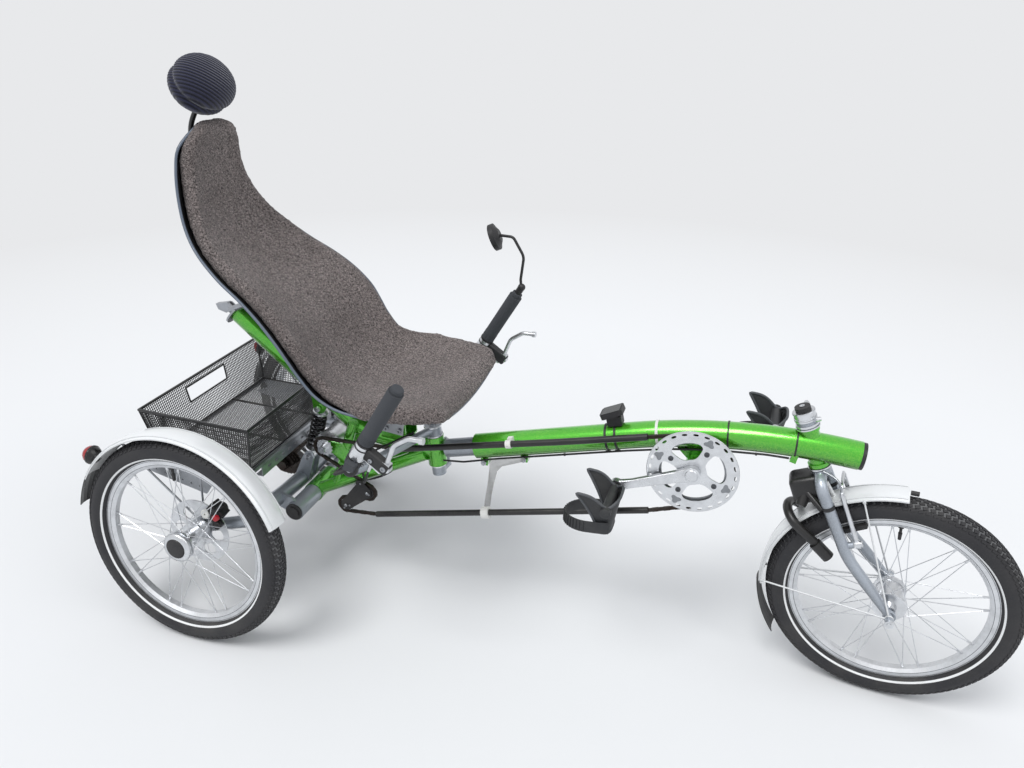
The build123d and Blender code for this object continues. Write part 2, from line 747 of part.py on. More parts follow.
rail_y, rail_thick, rail_hole = 232.0, 4.0, 2.75
with BuildPart() as basket_rails:
    for side in (-1, 1):
        with BuildSketch(side_plane(rail_y * side)) as rail:
            with BuildLine():
                Polyline(
                    (-191, 341), (-150, 360), (-158, 374), (-178, 386), (118, 386), (118, 373),
                    (20, 372), (2, 346), (-24, 307), close=True,
                )
            make_face()
            for place in range(6):
                with Locations((-160 + place * 24, 348 - place * 4.6)):
                    Circle(rail_hole, mode=Mode.SUBTRACT)
        extrude(rail.sketch, amount=rail_thick / 2, both=True)
    rod(at(90, -rail_y, 376), at(90, rail_y, 376), 7)
    rod(at(-166, -rail_y, 378), at(-166, rail_y, 378), 6)
    # front angle rail
    with BuildSketch(Plane(origin=at(90, 0, 356), x_dir=(0, 1, 0), z_dir=(1, 0, 0))) as web:
        Rectangle(330, 30)
        with GridLocations(30, 1, 10, 1):
            Rectangle(14, 6, mode=Mode.SUBTRACT)
    extrude(web.sketch, amount=1.5, both=True)
    with Locations(at(81, 0, 342.5)):
        Box(18, 330, 3)
    # hangers from the swing frame's cross tube
    for side in (-1, 1):
        rod(at(70, rail_y * side, 300), at(60, rail_y * side, 375), 7)
keep(basket_rails.part, "basket_rails")


# Mudguards: shallow curved strip round part of a wheel
def mudguard(wheel, start_deg, arc_deg, half=31.0, inner_r=266.0, crown=8.0, wall=2.0):
    with BuildSketch(section_plane(wheel, start_deg)) as strip:
        with BuildLine():
            Polyline(
                (inner_r, -half), (inner_r + crown * 0.75, -half / 2), (inner_r + crown, 0),
                (inner_r + crown * 0.75, half / 2), (inner_r, half), (inner_r + wall, half),
                (inner_r + crown * 0.75 + wall, half / 2), (inner_r + crown + wall, 0),
                (inner_r + crown * 0.75 + wall, -half / 2), (inner_r + wall, -half),
                close=True,
            )
        make_face()
    revolve(strip.sketch, axis=wheel_axis(wheel), revolution_arc=arc_deg)


with BuildPart() as rear_fender:
    mudguard(wheel_right, 22, 130)
with BuildPart() as rear_fenders:
    add(rear_fender.part)
    mirror(about=Plane.XZ)
keep(rear_fenders.part, "rear_fenders")

with BuildPart() as rear_flap:
    mudguard(wheel_right, 152.3, 18, half=22, inner_r=272, crown=4, wall=2)
with BuildPart() as rear_mudflaps:
    add(rear_flap.part)
    mirror(about=Plane.XZ)
keep(rear_mudflaps.part, "rear_mudflaps")

# Stays from each wheel carrier up to its mudguard
with BuildPart() as fender_stay:
    for angle in (84, 132):
        rod(
            on_wheel(wheel_right, angle, 20.4, carrier_out + 5),
            on_wheel(wheel_right, angle, 265.6, -33),
            2.5,
        )
with BuildPart() as fender_stays:
    add(fender_stay.part)
    mirror(about=Plane.XZ)
keep(fender_stays.part, "fender_stays")

# Front mudguard with its bracket, eyes on the axle and wire stays
eye_y = 72.0
with BuildPart() as front_fender:
    mudguard(wheel_front, 94, 92, inner_r=265, crown=7)
    rod(on_wheel(wheel_front, 125, 272.5, 0), on_wheel(wheel_front, 125, 309, 0), 5)
    for side in (-1, 1):
        for angle in (112, 184):
            rod(
                on_wheel(wheel_front, angle, 6, side * eye_y),
                on_wheel(wheel_front, angle, 266, side * 30),
                2,
            )
        rod(
            on_wheel(wheel_front, 0, 0, side * (eye_y - 2.2)),
            on_wheel(wheel_front, 0, 0, side * (eye_y + 2.2)),
            9,
        )
    rod(
        on_wheel(wheel_front, 0, 0, -90),
        on_wheel(wheel_front, 0, 0, 90),
        front_axle_radius + 0.2,
        mode=Mode.SUBTRACT,
    )
keep(steered(front_fender.part), "front_fender")

with BuildPart() as front_mudflap:
    mudguard(wheel_front, 186.3, 30, half=24, inner_r=272, crown=4)
    # rubber stub on the front edge
    rod(on_wheel(wheel_front, 93.5, 271, 0), on_wheel(wheel_front, 90.2, 271, 0), 5)
keep(steered(front_mudflap.part), "front_mudflap")

# Rear lamps behind the mudguards: housing, lens dome and foot
with BuildPart() as rear_lamps:
    for side in (-1, 1):
        lamp_front, lamp_back = at(-233, 339 * side, 427), at(-246, 339 * side, 429)
        lens_way = (lamp_back - lamp_front).normalized()
        rod(lamp_front, lamp_back, 30)
        cone(lamp_back, lamp_back + lens_way * 9, 29, 24)
        cone(lamp_back + lens_way * 9, lamp_back + lens_way * 14, 24, 13)
        rod(at(-238, 341 * side, 406.5), at(-239, 339 * side, 428), 6)
keep(rear_lamps.part, "rear_lamps")

# Disc brake calipers: a bridge over the disc's edge, a knob and an arm to the carrier
caliper_angle = 50.7
with BuildPart() as right_caliper:
    plate(
        section_plane(wheel_right, caliper_angle),
        [(58, -66), (58, -56), (86, -56), (86, -44), (60, -44), (60, -38), (98, -38), (98, -66)],
        40,
    )
    rod(
        on_wheel(wheel_right, caliper_angle, 76, -65),
        on_wheel(wheel_right, caliper_angle, 76, -80),
        14,
    )
    rod(
        on_wheel(wheel_right, caliper_angle, 76, -80),
        on_wheel(wheel_right, caliper_angle, 76, -86),
        8,
    )
    plate(section_plane(wheel_right, caliper_angle), [(31, -72), (64, -67.5), (64, -61), (31, -65)], 12)
with BuildPart() as brake_calipers:
    add(right_caliper.part)
    mirror(about=Plane.XZ)
keep(brake_calipers.part, "brake_calipers")

# Display mount on the boom
with BuildPart() as display_mount:
    with BuildSketch(Plane(origin=at(907, 0, 562), x_dir=(1, 0, 0.25), z_dir=(-0.25, 0, 1))):
        RectangleRounded(34, 30, 4)
    extrude(amount=22)
    with BuildSketch(Plane(origin=at(900, 0, 584), x_dir=(1, 0, 0.5), z_dir=(-0.5, 0, 1))):
        RectangleRounded(52, 42, 8)
    extrude(amount=12)
keep(display_mount.part, "display_mount")

# Cable along the boom, from the handlebar's pivot to the head
with BuildPart() as frame_cables:
    for y, shift in ((-19, 0), (19, 0)):
        bent_rod(
            [
                at(506, y * 1.5, 398),
                at(556, y * 1.2, 401),
                at(640, y, 425.5),
                at(940, y, 509.5),
                at(1030, y, 532.4),
                at(1130, y, 550.2),
                at(1230, y, 560.0),
                at(1276, y, 561),
            ],
            [30, 60, 300, 200, 200, 200],
            2.3,
        )
keep(frame_cables.part, "frame_cables")

# Fork: crown, two raked blades and dropouts
blade_y, tip_y = 49.0, 61.0
blade_radius, tip_radius = 12.0, 8.5
arm_y = 50.0                # steering arms' reach to the left
pin_radius = 4.0
blade_top = head_middle + head_down * 70
knee = at(1428, 0, 372)
with BuildPart() as fork:
    rod(head_middle - head_down * 80, head_middle + head_down * 60, steerer_radius)
    rod(head_middle + head_down * 44.5, head_middle + head_down * 66, 19)
    rod(head_middle - head_down * 66, head_middle - head_down * 46.5, 21)
    for side in (-1, 1):
        off = Vector(0, side * blade_y, 0)
        tip = at(wheelbase, side * tip_y, tyre_radius)
        taper = (knee + off) * 0.55 + tip * 0.45
        bent_rod(
            [head_middle + head_down * 57 + Vector(0, side * 3, 0), blade_top + off, knee + off, taper],
            [24, 150],
            blade_radius,
        )
        cone(taper, tip, blade_radius, tip_radius)
        rod(tip - Vector(0, 4, 0), tip + Vector(0, 4, 0), 13)
        # brake boss
        boss = at(1416, side * (blade_y - 2), 395)
        rod(boss, boss + Vector(20, 0, 9), 7)
        # nut
        rod(at(wheelbase, 75 * side, tyre_radius), at(wheelbase, 84 * side, tyre_radius), 9)
    rod(at(wheelbase, -84, tyre_radius), at(wheelbase, 84, tyre_radius), front_axle_radius)
keep(steered(fork.part), "fork")

# Rim brake: two arms joined by a bent pipe over the mudguard
with BuildPart() as front_brake:
    for side in (-1, 1):
        low = at(1438.5, side * 46, 404.8)
        high = at(1391, side * 39, 514)
        rod(low, low + Vector(9, 0, 4), 9)
        rod(low + Vector(4, 0, 2), high, 5)
        pad_back = on_wheel(wheel_front, 122, 201, side * 30)
        rod(pad_back, pad_back - Vector(0, 13 * side, 0), 4)
    bent_rod(
        [at(1391, -39, 512), at(1388, -38, 530), at(1388, 20, 532), at(1391, 39, 514)],
        [12, 12],
        3,
    )
keep(steered(front_brake.part), "front_brake")

# Black fittings of the fork: brake blocks, blade rings, top cap
with BuildPart() as fork_trim:
    for side in (-1, 1):
        block = on_wheel(wheel_front, 122, 201, side * 24)
        along = (on_wheel(wheel_front, 32, 1, 0) - wheel_front.origin)
        plate(
            Plane(origin=block, x_dir=along, z_dir=(0, -1, 0)),
            [(-28, -5), (28, -5), (31, 0), (28, 5), (-28, 5), (-31, 0)],
            11.6,
        )
        off = Vector(0, side * blade_y, 0)
        blade_way = (knee - blade_top).normalized()
        ring = blade_top + off + blade_way * 46
        rod(ring, ring + blade_way * 8, blade_radius + 1.2, blade_radius + 0.2)
    rod(head_middle - head_down * 84.3, head_middle - head_down * 93, 16)
keep(steered(fork_trim.part), "fork_trim")

# Clamp on top of the steerer
arm_end = head_middle - head_down * 75 + Vector(0, arm_y, 0)
with BuildPart() as steering_clamp:
    rod(head_middle - head_down * 66.3, head_middle - head_down * 84, 22)
    rod(arm_end - Vector(0, arm_y, 0), arm_end, 6)
    rod(arm_end - head_down * 5, arm_end + head_down * 72, pin_radius)
    with Locations(Plane(origin=head_middle - head_down * 66.3, z_dir=head_down)):
        Cylinder(steerer_radius + 0.2, 29, mode=Mode.SUBTRACT)
keep(steered(steering_clamp.part), "steering_clamp")

# Ring lock behind the fork blades: a horseshoe open to the hub
lock_angle = 145.0
lock_inner, lock_outer, lock_thick = 36.0, 50.0, 20.0
lock_low_r, lock_bend_r = 178.0, 252.0
with BuildPart() as wheel_lock:
    lock_radial = on_wheel(wheel_front, lock_angle, 1, 0) - wheel_front.origin
    with BuildSketch(Plane(origin=wheel_front.origin, x_dir=lock_radial,
                           z_dir=lock_radial.cross(wheel_front.z_dir))):
        with Locations((lock_bend_r, 0)):
            Circle(lock_outer)
        with Locations(((lock_low_r + lock_bend_r) / 2, 0)):
            Rectangle(lock_bend_r - lock_low_r, 2 * lock_outer)
            Rectangle(lock_bend_r - lock_low_r + 1, 2 * lock_inner, mode=Mode.SUBTRACT)
        with Locations((lock_bend_r, 0)):
            Circle(lock_inner, mode=Mode.SUBTRACT)
    extrude(amount=lock_thick / 2, both=True)
    # lock cylinder on the right leg
    rod(
        on_wheel(wheel_front, lock_angle, lock_low_r - 6, lock_outer - 4),
        on_wheel(wheel_front, lock_angle, lock_low_r + 34, lock_outer - 4),
        13,
    )
keep(steered(wheel_lock.part), "wheel_lock")

# Handlebar under the seat
bar_foot = bar_middle - bar_dir * 58
bar_corner_x, bar_corner_z, bar_half = 418.0, 490.0, 300.0
grip_top_x, grip_top_z = 551.0, 716.0
bar_top_r = 11.0


def on_bar(side, up):
    """A place on the handlebar's upright, by its distance up from the lower corner."""
    corner = at(bar_corner_x, bar_half * side, bar_corner_z)
    top = at(grip_top_x, bar_half * side, grip_top_z)
    return corner + (top - corner).normalized() * up


with BuildPart() as handlebar:
    for side in (-1, 1):
        bent_rod(
            [
                at(bar_x - 8, 0, 461),
                at(430, 225 * side, 480),
                at(bar_corner_x, bar_half * side, bar_corner_z),
                at(grip_top_x, bar_half * side, grip_top_z),
            ],
            [90, 40],
            bar_top_r,
        )
    rod(bar_middle + bar_dir * 46.5, bar_middle + bar_dir * 74, 20)
    rod(bar_foot + bar_dir * 27, bar_foot, 17)
    rod(bar_foot, bar_foot + Vector(0, arm_y, 0), 7)
    rod(bar_foot + Vector(0, arm_y, 0), bar_foot + Vector(0, arm_y, 0) + bar_dir * 72, pin_radius)
    rod(bar_foot, bar_middle + bar_dir * 72, bar_stem_radius)
keep(turned(handlebar.part), "handlebar")

# Grips, bar-end plugs and the shifter's collar
with BuildPart() as grips:
    for side in (-1, 1):
        rod(on_bar(side, 112), on_bar(side, 262), 17, bar_top_r + 0.3)
        rod(on_bar(side, 262.6), on_bar(side, 272), 13)
    rod(on_bar(-1, 42), on_bar(-1, 64), 18, bar_top_r + 0.3)
    plate(
        Plane(origin=on_bar(-1, 53) + Vector(4, -24, 0), x_dir=(1, 0, 0), z_dir=(0, -1, 0)),
        [(-14, -8), (10, -10), (14, 4), (-6, 12)],
        18,
    )
keep(turned(grips.part), "grips")

# Brake levers: clamp, body, pivot and a knobbed blade
with BuildPart() as brake_levers:
    for side in (-1, 1):
        rod(on_bar(side, 70), on_bar(side, 90), 16, bar_top_r + 0.3)
        rod(on_bar(side, 98), on_bar(side, 106), 15, bar_top_r + 0.3)
        plate(
            side_plane(bar_half * side),
            [(470, 548), (506, 522), (530, 530), (531, 546), (502, 560), (485, 570)],
            16,
        )
        bent_rod(
            [
                at(519, bar_half * side, 538),
                at(540, bar_half * side, 594),
                at(574, bar_half * side, 618),
                at(603, bar_half * side, 620),
            ],
            [30, 20],
            5.5,
        )
        rod(at(600, bar_half * side, 619.5), at(609, bar_half * side, 620.5), 7.5)
keep(turned(brake_levers.part), "brake_levers")

# Cables from the levers and the shifter in to the pivot
with BuildPart() as handlebar_cables:
    for side in (-1, 1):
        bent_rod(
            [
                at(482, bar_half * side, 532),
                at(462, 296 * side, 478),
                at(410, 222 * side, 452),
                at(447, 56 * side, 458),
            ],
            [30, 40],
            2.5,
        )
    bent_rod(
        [at(431.5, -324, 531), at(396, -318, 492), at(384, -222, 474), at(449, -61, 478)],
        [30, 40],
        2.5,
    )
keep(turned(handlebar_cables.part), "handlebar_cables")

# Mirror: ball joint on the bar's end, bent stem, round head
mirror_middle, mirror_way = at(492, 300, 862), Vector(-0.88, -0.25, -0.40).normalized()
with BuildPart() as mirror_arm:
    rod(on_bar(1, 272.6), on_bar(1, 292), 9)
    bent_rod(
        [
            on_bar(1, 290), at(563, 300, 762), at(570, 300, 822), at(540, 300, 868),
            mirror_middle - mirror_way * 12,
        ],
        [18, 30, 14],
        3.5,
    )
    rod(mirror_middle - mirror_way * 4, mirror_middle + mirror_way * 8, 33)
    cone(mirror_middle - mirror_way * 13, mirror_middle - mirror_way * 4, 16, 31)
keep(turned(mirror_arm.part), "mirror")

# Steering rod on the left of the boom, its front eye loose on the fork's pin
rod_back = swung(bar_foot + Vector(0, arm_y, 0) + bar_dir * 63, bar_axis, bar_rest)
rod_front = swung(head_middle - head_down * 10 + Vector(0, arm_y, 0), steer_axis, steer_rest)
with BuildPart() as steering_rod:
    rod(rod_back, rod_front, 4)
    rod(rod_front - head_down * 3, rod_front + head_down * 3, 8)
    rod(rod_back + bar_dir * 4, rod_back - bar_dir * 4, 8)
    with Locations(Plane(origin=rod_back, z_dir=bar_dir)):
        Cylinder(pin_radius + running, 40, mode=Mode.SUBTRACT)
    with Locations(Plane(origin=rod_front, z_dir=head_down)):
        Cylinder(pin_radius + 1.5, 40, mode=Mode.SUBTRACT)
keep(steering_rod.part, "steering_rod")

# Chainring: toothed ring, and a guard disc that is also its spider
crank_back = Vector(-cos(radians(crank_drop)), 0, -sin(radians(crank_drop)))
crank_middle = at(bottom_x, 0, bottom_z)
guard_y, teeth_y = -60.2, -54.0
boss_bore = 18.3
with BuildPart() as chainring:
    with BuildSketch(Plane(origin=crank_middle + Vector(0, guard_y, 0), z_dir=(0, -1, 0))) as guard:
        Circle(96)
        with PolarLocations(53, 5, start_angle=36):
            Ellipse(21, 24, mode=Mode.SUBTRACT)
        with PolarLocations(81, 5):
            RegularPolygon(6.5, 3, mode=Mode.SUBTRACT)
        with PolarLocations(89.5, 20, start_angle=9):
            RectangleRounded(4.4, 11, 2, mode=Mode.SUBTRACT)
        Circle(boss_bore, mode=Mode.SUBTRACT)
    extrude(guard.sketch, amount=1, both=True)
    with BuildSketch(Plane(origin=crank_middle + Vector(0, teeth_y, 0), z_dir=(0, -1, 0))) as teeth:
        Polygon(*toothed(42, 78.6, 80.8), align=None)
        Circle(66, mode=Mode.SUBTRACT)
    extrude(teeth.sketch, amount=1, both=True)
    for arm in range(5):
        turn = radians(72 * arm)
        spot = crank_middle + Vector(70 * cos(turn), 0, 70 * sin(turn))
        rod(spot + Vector(0, -54, 0), spot + Vector(0, -62.6, 0), 4.5)
keep(chainring.part, "chainring")

# Cranks: axle, two tapered arms and the pedals' axles
pedal_in, pedal_out, pedal_axle_radius = 88.0, 190.0, 6.0


def crank_arm(side):
    """A forged arm: wide at the axle, slim in the middle, round at the pedal."""
    way = -side * crank_back
    up = Vector(0, 1, 0).cross(way)
    sections = []
    for along, wide, deep, out in ((0, 36, 13, 68.5), (34, 27, 14, 70), (130, 20, 13, 77), (165, 26, 13, 78)):
        middle = crank_middle + way * along + Vector(0, side * out, 0)
        with BuildSketch(Plane(origin=middle, x_dir=up, z_dir=way)) as section:
            RectangleRounded(wide, deep, 4)
        sections.append(section.sketch)
    loft(sections, ruled=True)
    end = crank_middle + way * crank_length
    rod(end + Vector(0, 71 * side, 0), end + Vector(0, 84.5 * side, 0), 15)
    rod(end + Vector(0, 72 * side, 0), end + Vector(0, (pedal_out + 3) * side, 0), pedal_axle_radius)
    rod(
        end + Vector(0, (pedal_out + 0.6) * side, 0),
        end + Vector(0, (pedal_out + 7) * side, 0),
        pedal_axle_radius + 4,
    )


with BuildPart() as cranks:
    rod(crank_middle + Vector(0, -76, 0), crank_middle + Vector(0, -58.5, 0), 18)
    rod(crank_middle + Vector(0, 78, 0), crank_middle + Vector(0, 59, 0), 18)
    rod(crank_middle + Vector(0, -58.5, 0), crank_middle + Vector(0, 64.5, 0), axle_radius)
    for side in (-1, 1):
        crank_arm(side)
keep(cranks.part, "cranks")

pedal_axle = {-1: crank_middle + crank_back * crank_length, 1: crank_middle - crank_back * crank_length}


def make_pedal(side):
    """A pedal with a sole plate, side cheeks and a strap round the heel."""
    middle = pedal_axle[side] + Vector(0, side * (pedal_in + pedal_out) / 2, 0)
    level = Plane(origin=middle, x_dir=(1, 0, 0), z_dir=(0, -1, 0))
    with BuildPart() as pedal:
        rod(
            pedal_axle[side] + Vector(0, side * pedal_in, 0),
            pedal_axle[side] + Vector(0, side * pedal_out, 0),
            11,
        )
        # sole plate with three slots
        plate(level, [(16, 48), (22, 46), (16, 0), (9, -84), (2, -84), (8, 0)], 92)
        plate(level, [(-63, 54), (-60, 58), (18, 49), (17, 43)], 92)
        for out in (-46, 46):
            plate(
                level.offset(out),
                [(-63, 55), (18, 46), (16, 0), (8, -84), (-8, -84), (-20, -40), (-34, 10)],
                4,
            )
        # heel strap
        with BuildSketch(Plane(origin=middle - Vector(0, 0, 96))) as strap:
            with BuildLine():
                Line((6, 46), (-50, 46))
                ThreePointArc((-50, 46), (-96, 0), (-50, -46))
                Line((-50, -46), (6, -46))
                Line((6, -46), (6, -42))
                Line((6, -42), (-50, -42))
                ThreePointArc((-50, -42), (-92, 0), (-50, 42))
                Line((-50, 42), (6, 42))
                Line((6, 42), (6, 46))
            make_face()
        extrude(strap.sketch, amount=34)
        # clearance for the turning axle
        rod(
            middle - Vector(0, 70, 0),
            middle + Vector(0, 70, 0),
            pedal_axle_radius + running,
            mode=Mode.SUBTRACT,
        )
    return pedal.part


keep(make_pedal(-1), "pedal_right")
keep(make_pedal(1), "pedal_left")
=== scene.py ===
import json
from math import cos, exp, hypot, pi, radians, sin, sqrt, tau

import bmesh
import bpy
from mathutils import Matrix, Vector, noise


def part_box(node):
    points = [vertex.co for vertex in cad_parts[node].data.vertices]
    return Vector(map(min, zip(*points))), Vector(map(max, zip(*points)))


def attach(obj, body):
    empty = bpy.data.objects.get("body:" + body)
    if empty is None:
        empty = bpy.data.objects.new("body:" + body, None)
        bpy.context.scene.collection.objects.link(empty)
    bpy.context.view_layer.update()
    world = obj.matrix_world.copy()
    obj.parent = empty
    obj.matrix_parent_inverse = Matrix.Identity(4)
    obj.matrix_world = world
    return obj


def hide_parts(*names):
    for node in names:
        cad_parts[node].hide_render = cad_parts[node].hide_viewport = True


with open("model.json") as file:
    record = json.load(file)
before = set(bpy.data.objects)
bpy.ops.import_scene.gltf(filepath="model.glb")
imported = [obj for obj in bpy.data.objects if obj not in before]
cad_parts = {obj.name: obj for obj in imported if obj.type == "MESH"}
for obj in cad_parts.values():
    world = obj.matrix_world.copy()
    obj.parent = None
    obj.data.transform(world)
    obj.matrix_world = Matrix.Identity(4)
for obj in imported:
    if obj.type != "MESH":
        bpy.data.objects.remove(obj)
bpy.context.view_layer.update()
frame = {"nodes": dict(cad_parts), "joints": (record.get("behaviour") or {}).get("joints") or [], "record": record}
nodes = frame["nodes"]
scene = bpy.context.scene
joint_at = {j["name"]: Vector(j["pos_m"]) for j in frame["joints"]}
joint_axis = {j["name"]: Vector(j["axis"]).normalized() for j in frame["joints"]}

# Camera: standing on the trike's right, a little ahead of its middle, looking down at it
camera_place = Vector((0.402, -1.602, 1.423))
look_ahead = Vector((-0.26731706, 0.86059731, -0.43349032))
look_right = Vector((0.95055125, 0.30931198, 0.02790027))
look_up = Vector((-0.15809464, 0.40459655, 0.90072622))
focal_px, image_width = 822.083, 1024


def put(name, data):
    """An object in the scene."""
    made = bpy.data.objects.new(name, data)
    scene.collection.objects.link(made)
    return made


camera_data = bpy.data.cameras.new("photo_camera")
camera_data.sensor_width = 36.0
camera_data.lens = focal_px * camera_data.sensor_width / image_width
turn = Matrix((look_right, look_up, -look_ahead)).transposed()
scene.camera = put("photo_camera", camera_data)
scene.camera.matrix_world = Matrix.Translation(camera_place) @ turn.to_4x4()

# Places: millimetres forward, left and up from the ground under the rear axle
mm = 0.001
rear_axle_x = joint_at["rear_wheel_right_spin"].x


def at(x, y, z):
    return Vector((rear_axle_x + x * mm, y * mm, z * mm))


def about(joint, degrees):
    """The turn of a body about its joint's axis."""
    pivot = Matrix.Translation(joint_at[joint])
    return pivot @ Matrix.Rotation(radians(degrees), 4, joint_axis[joint]) @ pivot.inverted()


# The fork and the handlebar are parked turned a little to the right
parked_turn = -5.0      # degrees
steered, turned = about("fork_steer", parked_turn), about("handlebar_steer", parked_turn)
steered_way, turned_way = steered.to_3x3(), turned.to_3x3()


def facing(place, direction):
    """A place whose local Z looks along a direction."""
    heading = Vector(direction).to_track_quat("Z", "Y").to_matrix()
    return Matrix.Translation(place) @ heading.to_4x4()


def wheel_place(joint, ahead):
    """A wheel's place: local X forward, local Z out to the right along its axle."""
    out = joint_axis[joint]
    ahead = (ahead - out * ahead.dot(out)).normalized()
    frame_axes = Matrix((ahead, out.cross(ahead), out)).transposed()
    return Matrix.Translation(joint_at[joint]) @ frame_axes.to_4x4()


mirrored = Matrix.Scale(-1, 4, (0, 1, 0))
wheel_right = wheel_place("rear_wheel_right_spin", Vector((1, 0, 0)))
wheel_left = mirrored @ wheel_right
wheel_front = wheel_place("front_wheel_spin", steered_way @ Vector((1, 0, 0)))
wheels = (
    ("right", wheel_right, "rear_wheel_right"),
    ("left", wheel_left, "rear_wheel_left"),
    ("front", wheel_front, "front_wheel"),
)


def on_wheel(wheel, angle, radius, out):
    """A place by its angle up from forward, its radius and its distance out along the axle."""
    way = radians(angle)
    return wheel @ Vector((radius * mm * cos(way), radius * mm * sin(way), out * mm))


def axle_way(wheel, way=1):
    """Out along a wheel's axle, or inwards with -1."""
    return wheel.to_3x3() @ Vector((0, 0, way))


# Colours as seen, 0 to 255, turned into the shader's light values
def paint(red, green, blue):
    """A shader colour from the colour as it is seen."""
    def value(c):
        c /= 255
        return c / 12.92 if c <= 0.04045 else ((c + 0.055) / 1.055) ** 2.4
    return (value(red), value(green), value(blue), 1.0)


def darker(colour, share):
    return tuple(share * value for value in colour[:3]) + (1.0,)


# Shared effects
def new_group(name, inputs, outputs):
    """An empty shader node group; inputs and outputs are rows of (name, kind, default)."""
    group = bpy.data.node_groups.new(name, "ShaderNodeTree")
    for label, kind, default in inputs:
        socket = group.interface.new_socket(label, in_out="INPUT", socket_type=kind)
        socket.default_value = default
    for label, kind in outputs:
        group.interface.new_socket(label, in_out="OUTPUT", socket_type=kind)
    start = group.nodes.new("NodeGroupInput")
    end = group.nodes.new("NodeGroupOutput")
    return group, start, end


COLOUR, NUMBER = "NodeSocketColor", "NodeSocketFloat"


def node(tree, kind, inputs=None, **settings):
    """Adds a shader node; inputs maps socket name or number to a value or to an output socket."""
    made = tree.nodes.new("ShaderNode" + kind)
    for key, value in settings.items():
        setattr(made, key, value)
    for key, value in (inputs or {}).items():
        if isinstance(value, bpy.types.NodeSocket):
            tree.links.new(value, made.inputs[key])
        else:
            made.inputs[key].default_value = value
    return made


def noise_at(tree, coords, scale, detail=3.0, rough=0.55, output="Fac"):
    inputs = {"Vector": coords, "Scale": scale, "Detail": detail, "Roughness": rough}
    return node(tree, "TexNoise", inputs).outputs[output]


def object_place(tree):
    return node(tree, "TexCoord").outputs["Object"]


def z_of(tree, vector):
    return node(tree, "SeparateXYZ", {0: vector}).outputs["Z"]


def facing_up(tree):
    """How far a face looks up, from -1 to 1."""
    return z_of(tree, node(tree, "NewGeometry").outputs["Normal"])


def remap(tree, value, low, high, out_low=0.0, out_high=1.0):
    made = node(tree, "MapRange", {
        "Value": value, "From Min": low, "From Max": high, "To Min": out_low, "To Max": out_high,
    })
    return made.outputs["Result"]


def maths(tree, operation, first, second, clamp=False):
    made = node(tree, "Math", {0: first, 1: second}, operation=operation, use_clamp=clamp)
    return made.outputs[0]


def mixed(tree, share, first, second):
    return node(tree, "Mix", {0: share, 6: first, 7: second}, data_type="RGBA").outputs[2]


def make_dust_group():
    """Road dust: it gathers low down, on upward faces and in patches."""
    group, start, end = new_group(
        "road_dust",
        [("Color", COLOUR, (0.5, 0.5, 0.5, 1)), ("Dust", COLOUR, paint(136, 132, 124)),
         ("Amount", NUMBER, 0.3), ("Roughness", NUMBER, 0.4)],
        [("Color", COLOUR), ("Roughness", NUMBER), ("Mask", NUMBER)],
    )
    place = object_place(group)
    low = remap(group, z_of(group, place), 0.62, 0.02, 0.25, 1.0)
    upward = remap(group, facing_up(group), -0.4, 1.0, 0.35, 1.0)
    patches = remap(group, noise_at(group, place, 14.0, 5.0, 0.65), 0.38, 0.72)
    specks = remap(group, noise_at(group, place, 260.0, 2.0, 0.6), 0.5, 0.78, 0.0, 0.7)
    spread = maths(group, "ADD", patches, specks, clamp=True)
    mask = maths(group, "MULTIPLY", maths(group, "MULTIPLY", low, upward), spread)
    share = maths(group, "MULTIPLY", mask, start.outputs["Amount"])
    group.links.new(mixed(group, share, start.outputs["Color"], start.outputs["Dust"]),
                    end.inputs["Color"])
    rough = maths(group, "MULTIPLY", share, 0.45)
    total = maths(group, "ADD", start.outputs["Roughness"], rough, clamp=True)
    group.links.new(total, end.inputs["Roughness"])
    group.links.new(share, end.inputs["Mask"])
    return group


def make_flake_group():
    """Metal flakes under clear lacquer: small cells, each a little lighter or darker."""
    group, start, end = new_group(
        "metal_flakes",
        [("Color", COLOUR, (0.5, 0.5, 0.5, 1)), ("Glint", COLOUR, (0.8, 0.8, 0.8, 1)),
         ("Scale", NUMBER, 900.0), ("Amount", NUMBER, 0.25)],
        [("Color", COLOUR)],
    )
    place = object_place(group)
    cells = node(group, "TexVoronoi", {"Vector": place, "Scale": start.outputs["Scale"]})
    value = node(group, "SeparateColor", {0: cells.outputs["Color"]}).outputs[0]
    share = maths(group, "MULTIPLY", remap(group, value, 0.3, 1.0), start.outputs["Amount"])
    group.links.new(mixed(group, share, start.outputs["Color"], start.outputs["Glint"]),
                    end.inputs["Color"])
    return group


def make_grain_group():
    """Fine surface grain as a height, with slow waves in it."""
    group, start, end = new_group(
        "fine_grain",
        [("Scale", NUMBER, 400.0), ("Waves", NUMBER, 0.2)],
        [("Height", NUMBER)],
    )
    place = object_place(group)
    fine = node(group, "TexNoise",
                {"Vector": place, "Scale": start.outputs["Scale"], "Detail": 2.0}).outputs["Fac"]
    waves = maths(group, "MULTIPLY", noise_at(group, place, 25.0, 2.0), start.outputs["Waves"])
    group.links.new(maths(group, "ADD", fine, waves), end.inputs["Height"])
    return group


dust_group, flake_group, grain_group = make_dust_group(), make_flake_group(), make_grain_group()


def use_group(tree, group, **inputs):
    return node(tree, "Group", inputs, node_tree=group)


def new_material(name, **shader):
    """A material with its shader; shader sockets are given with _ for each blank."""
    material = bpy.data.materials.new(name)
    material.use_nodes = True
    tree = material.node_tree
    principled = tree.nodes["Principled BSDF"]
    for key, value in shader.items():
        principled.inputs[key.replace("_", " ")].default_value = value
    return material, tree, principled


def bump(tree, principled, height, strength, distance):
    made = node(tree, "Bump",
                {"Height": height, "Strength": strength, "Distance": distance})
    tree.links.new(made.outputs["Normal"], principled.inputs["Normal"])


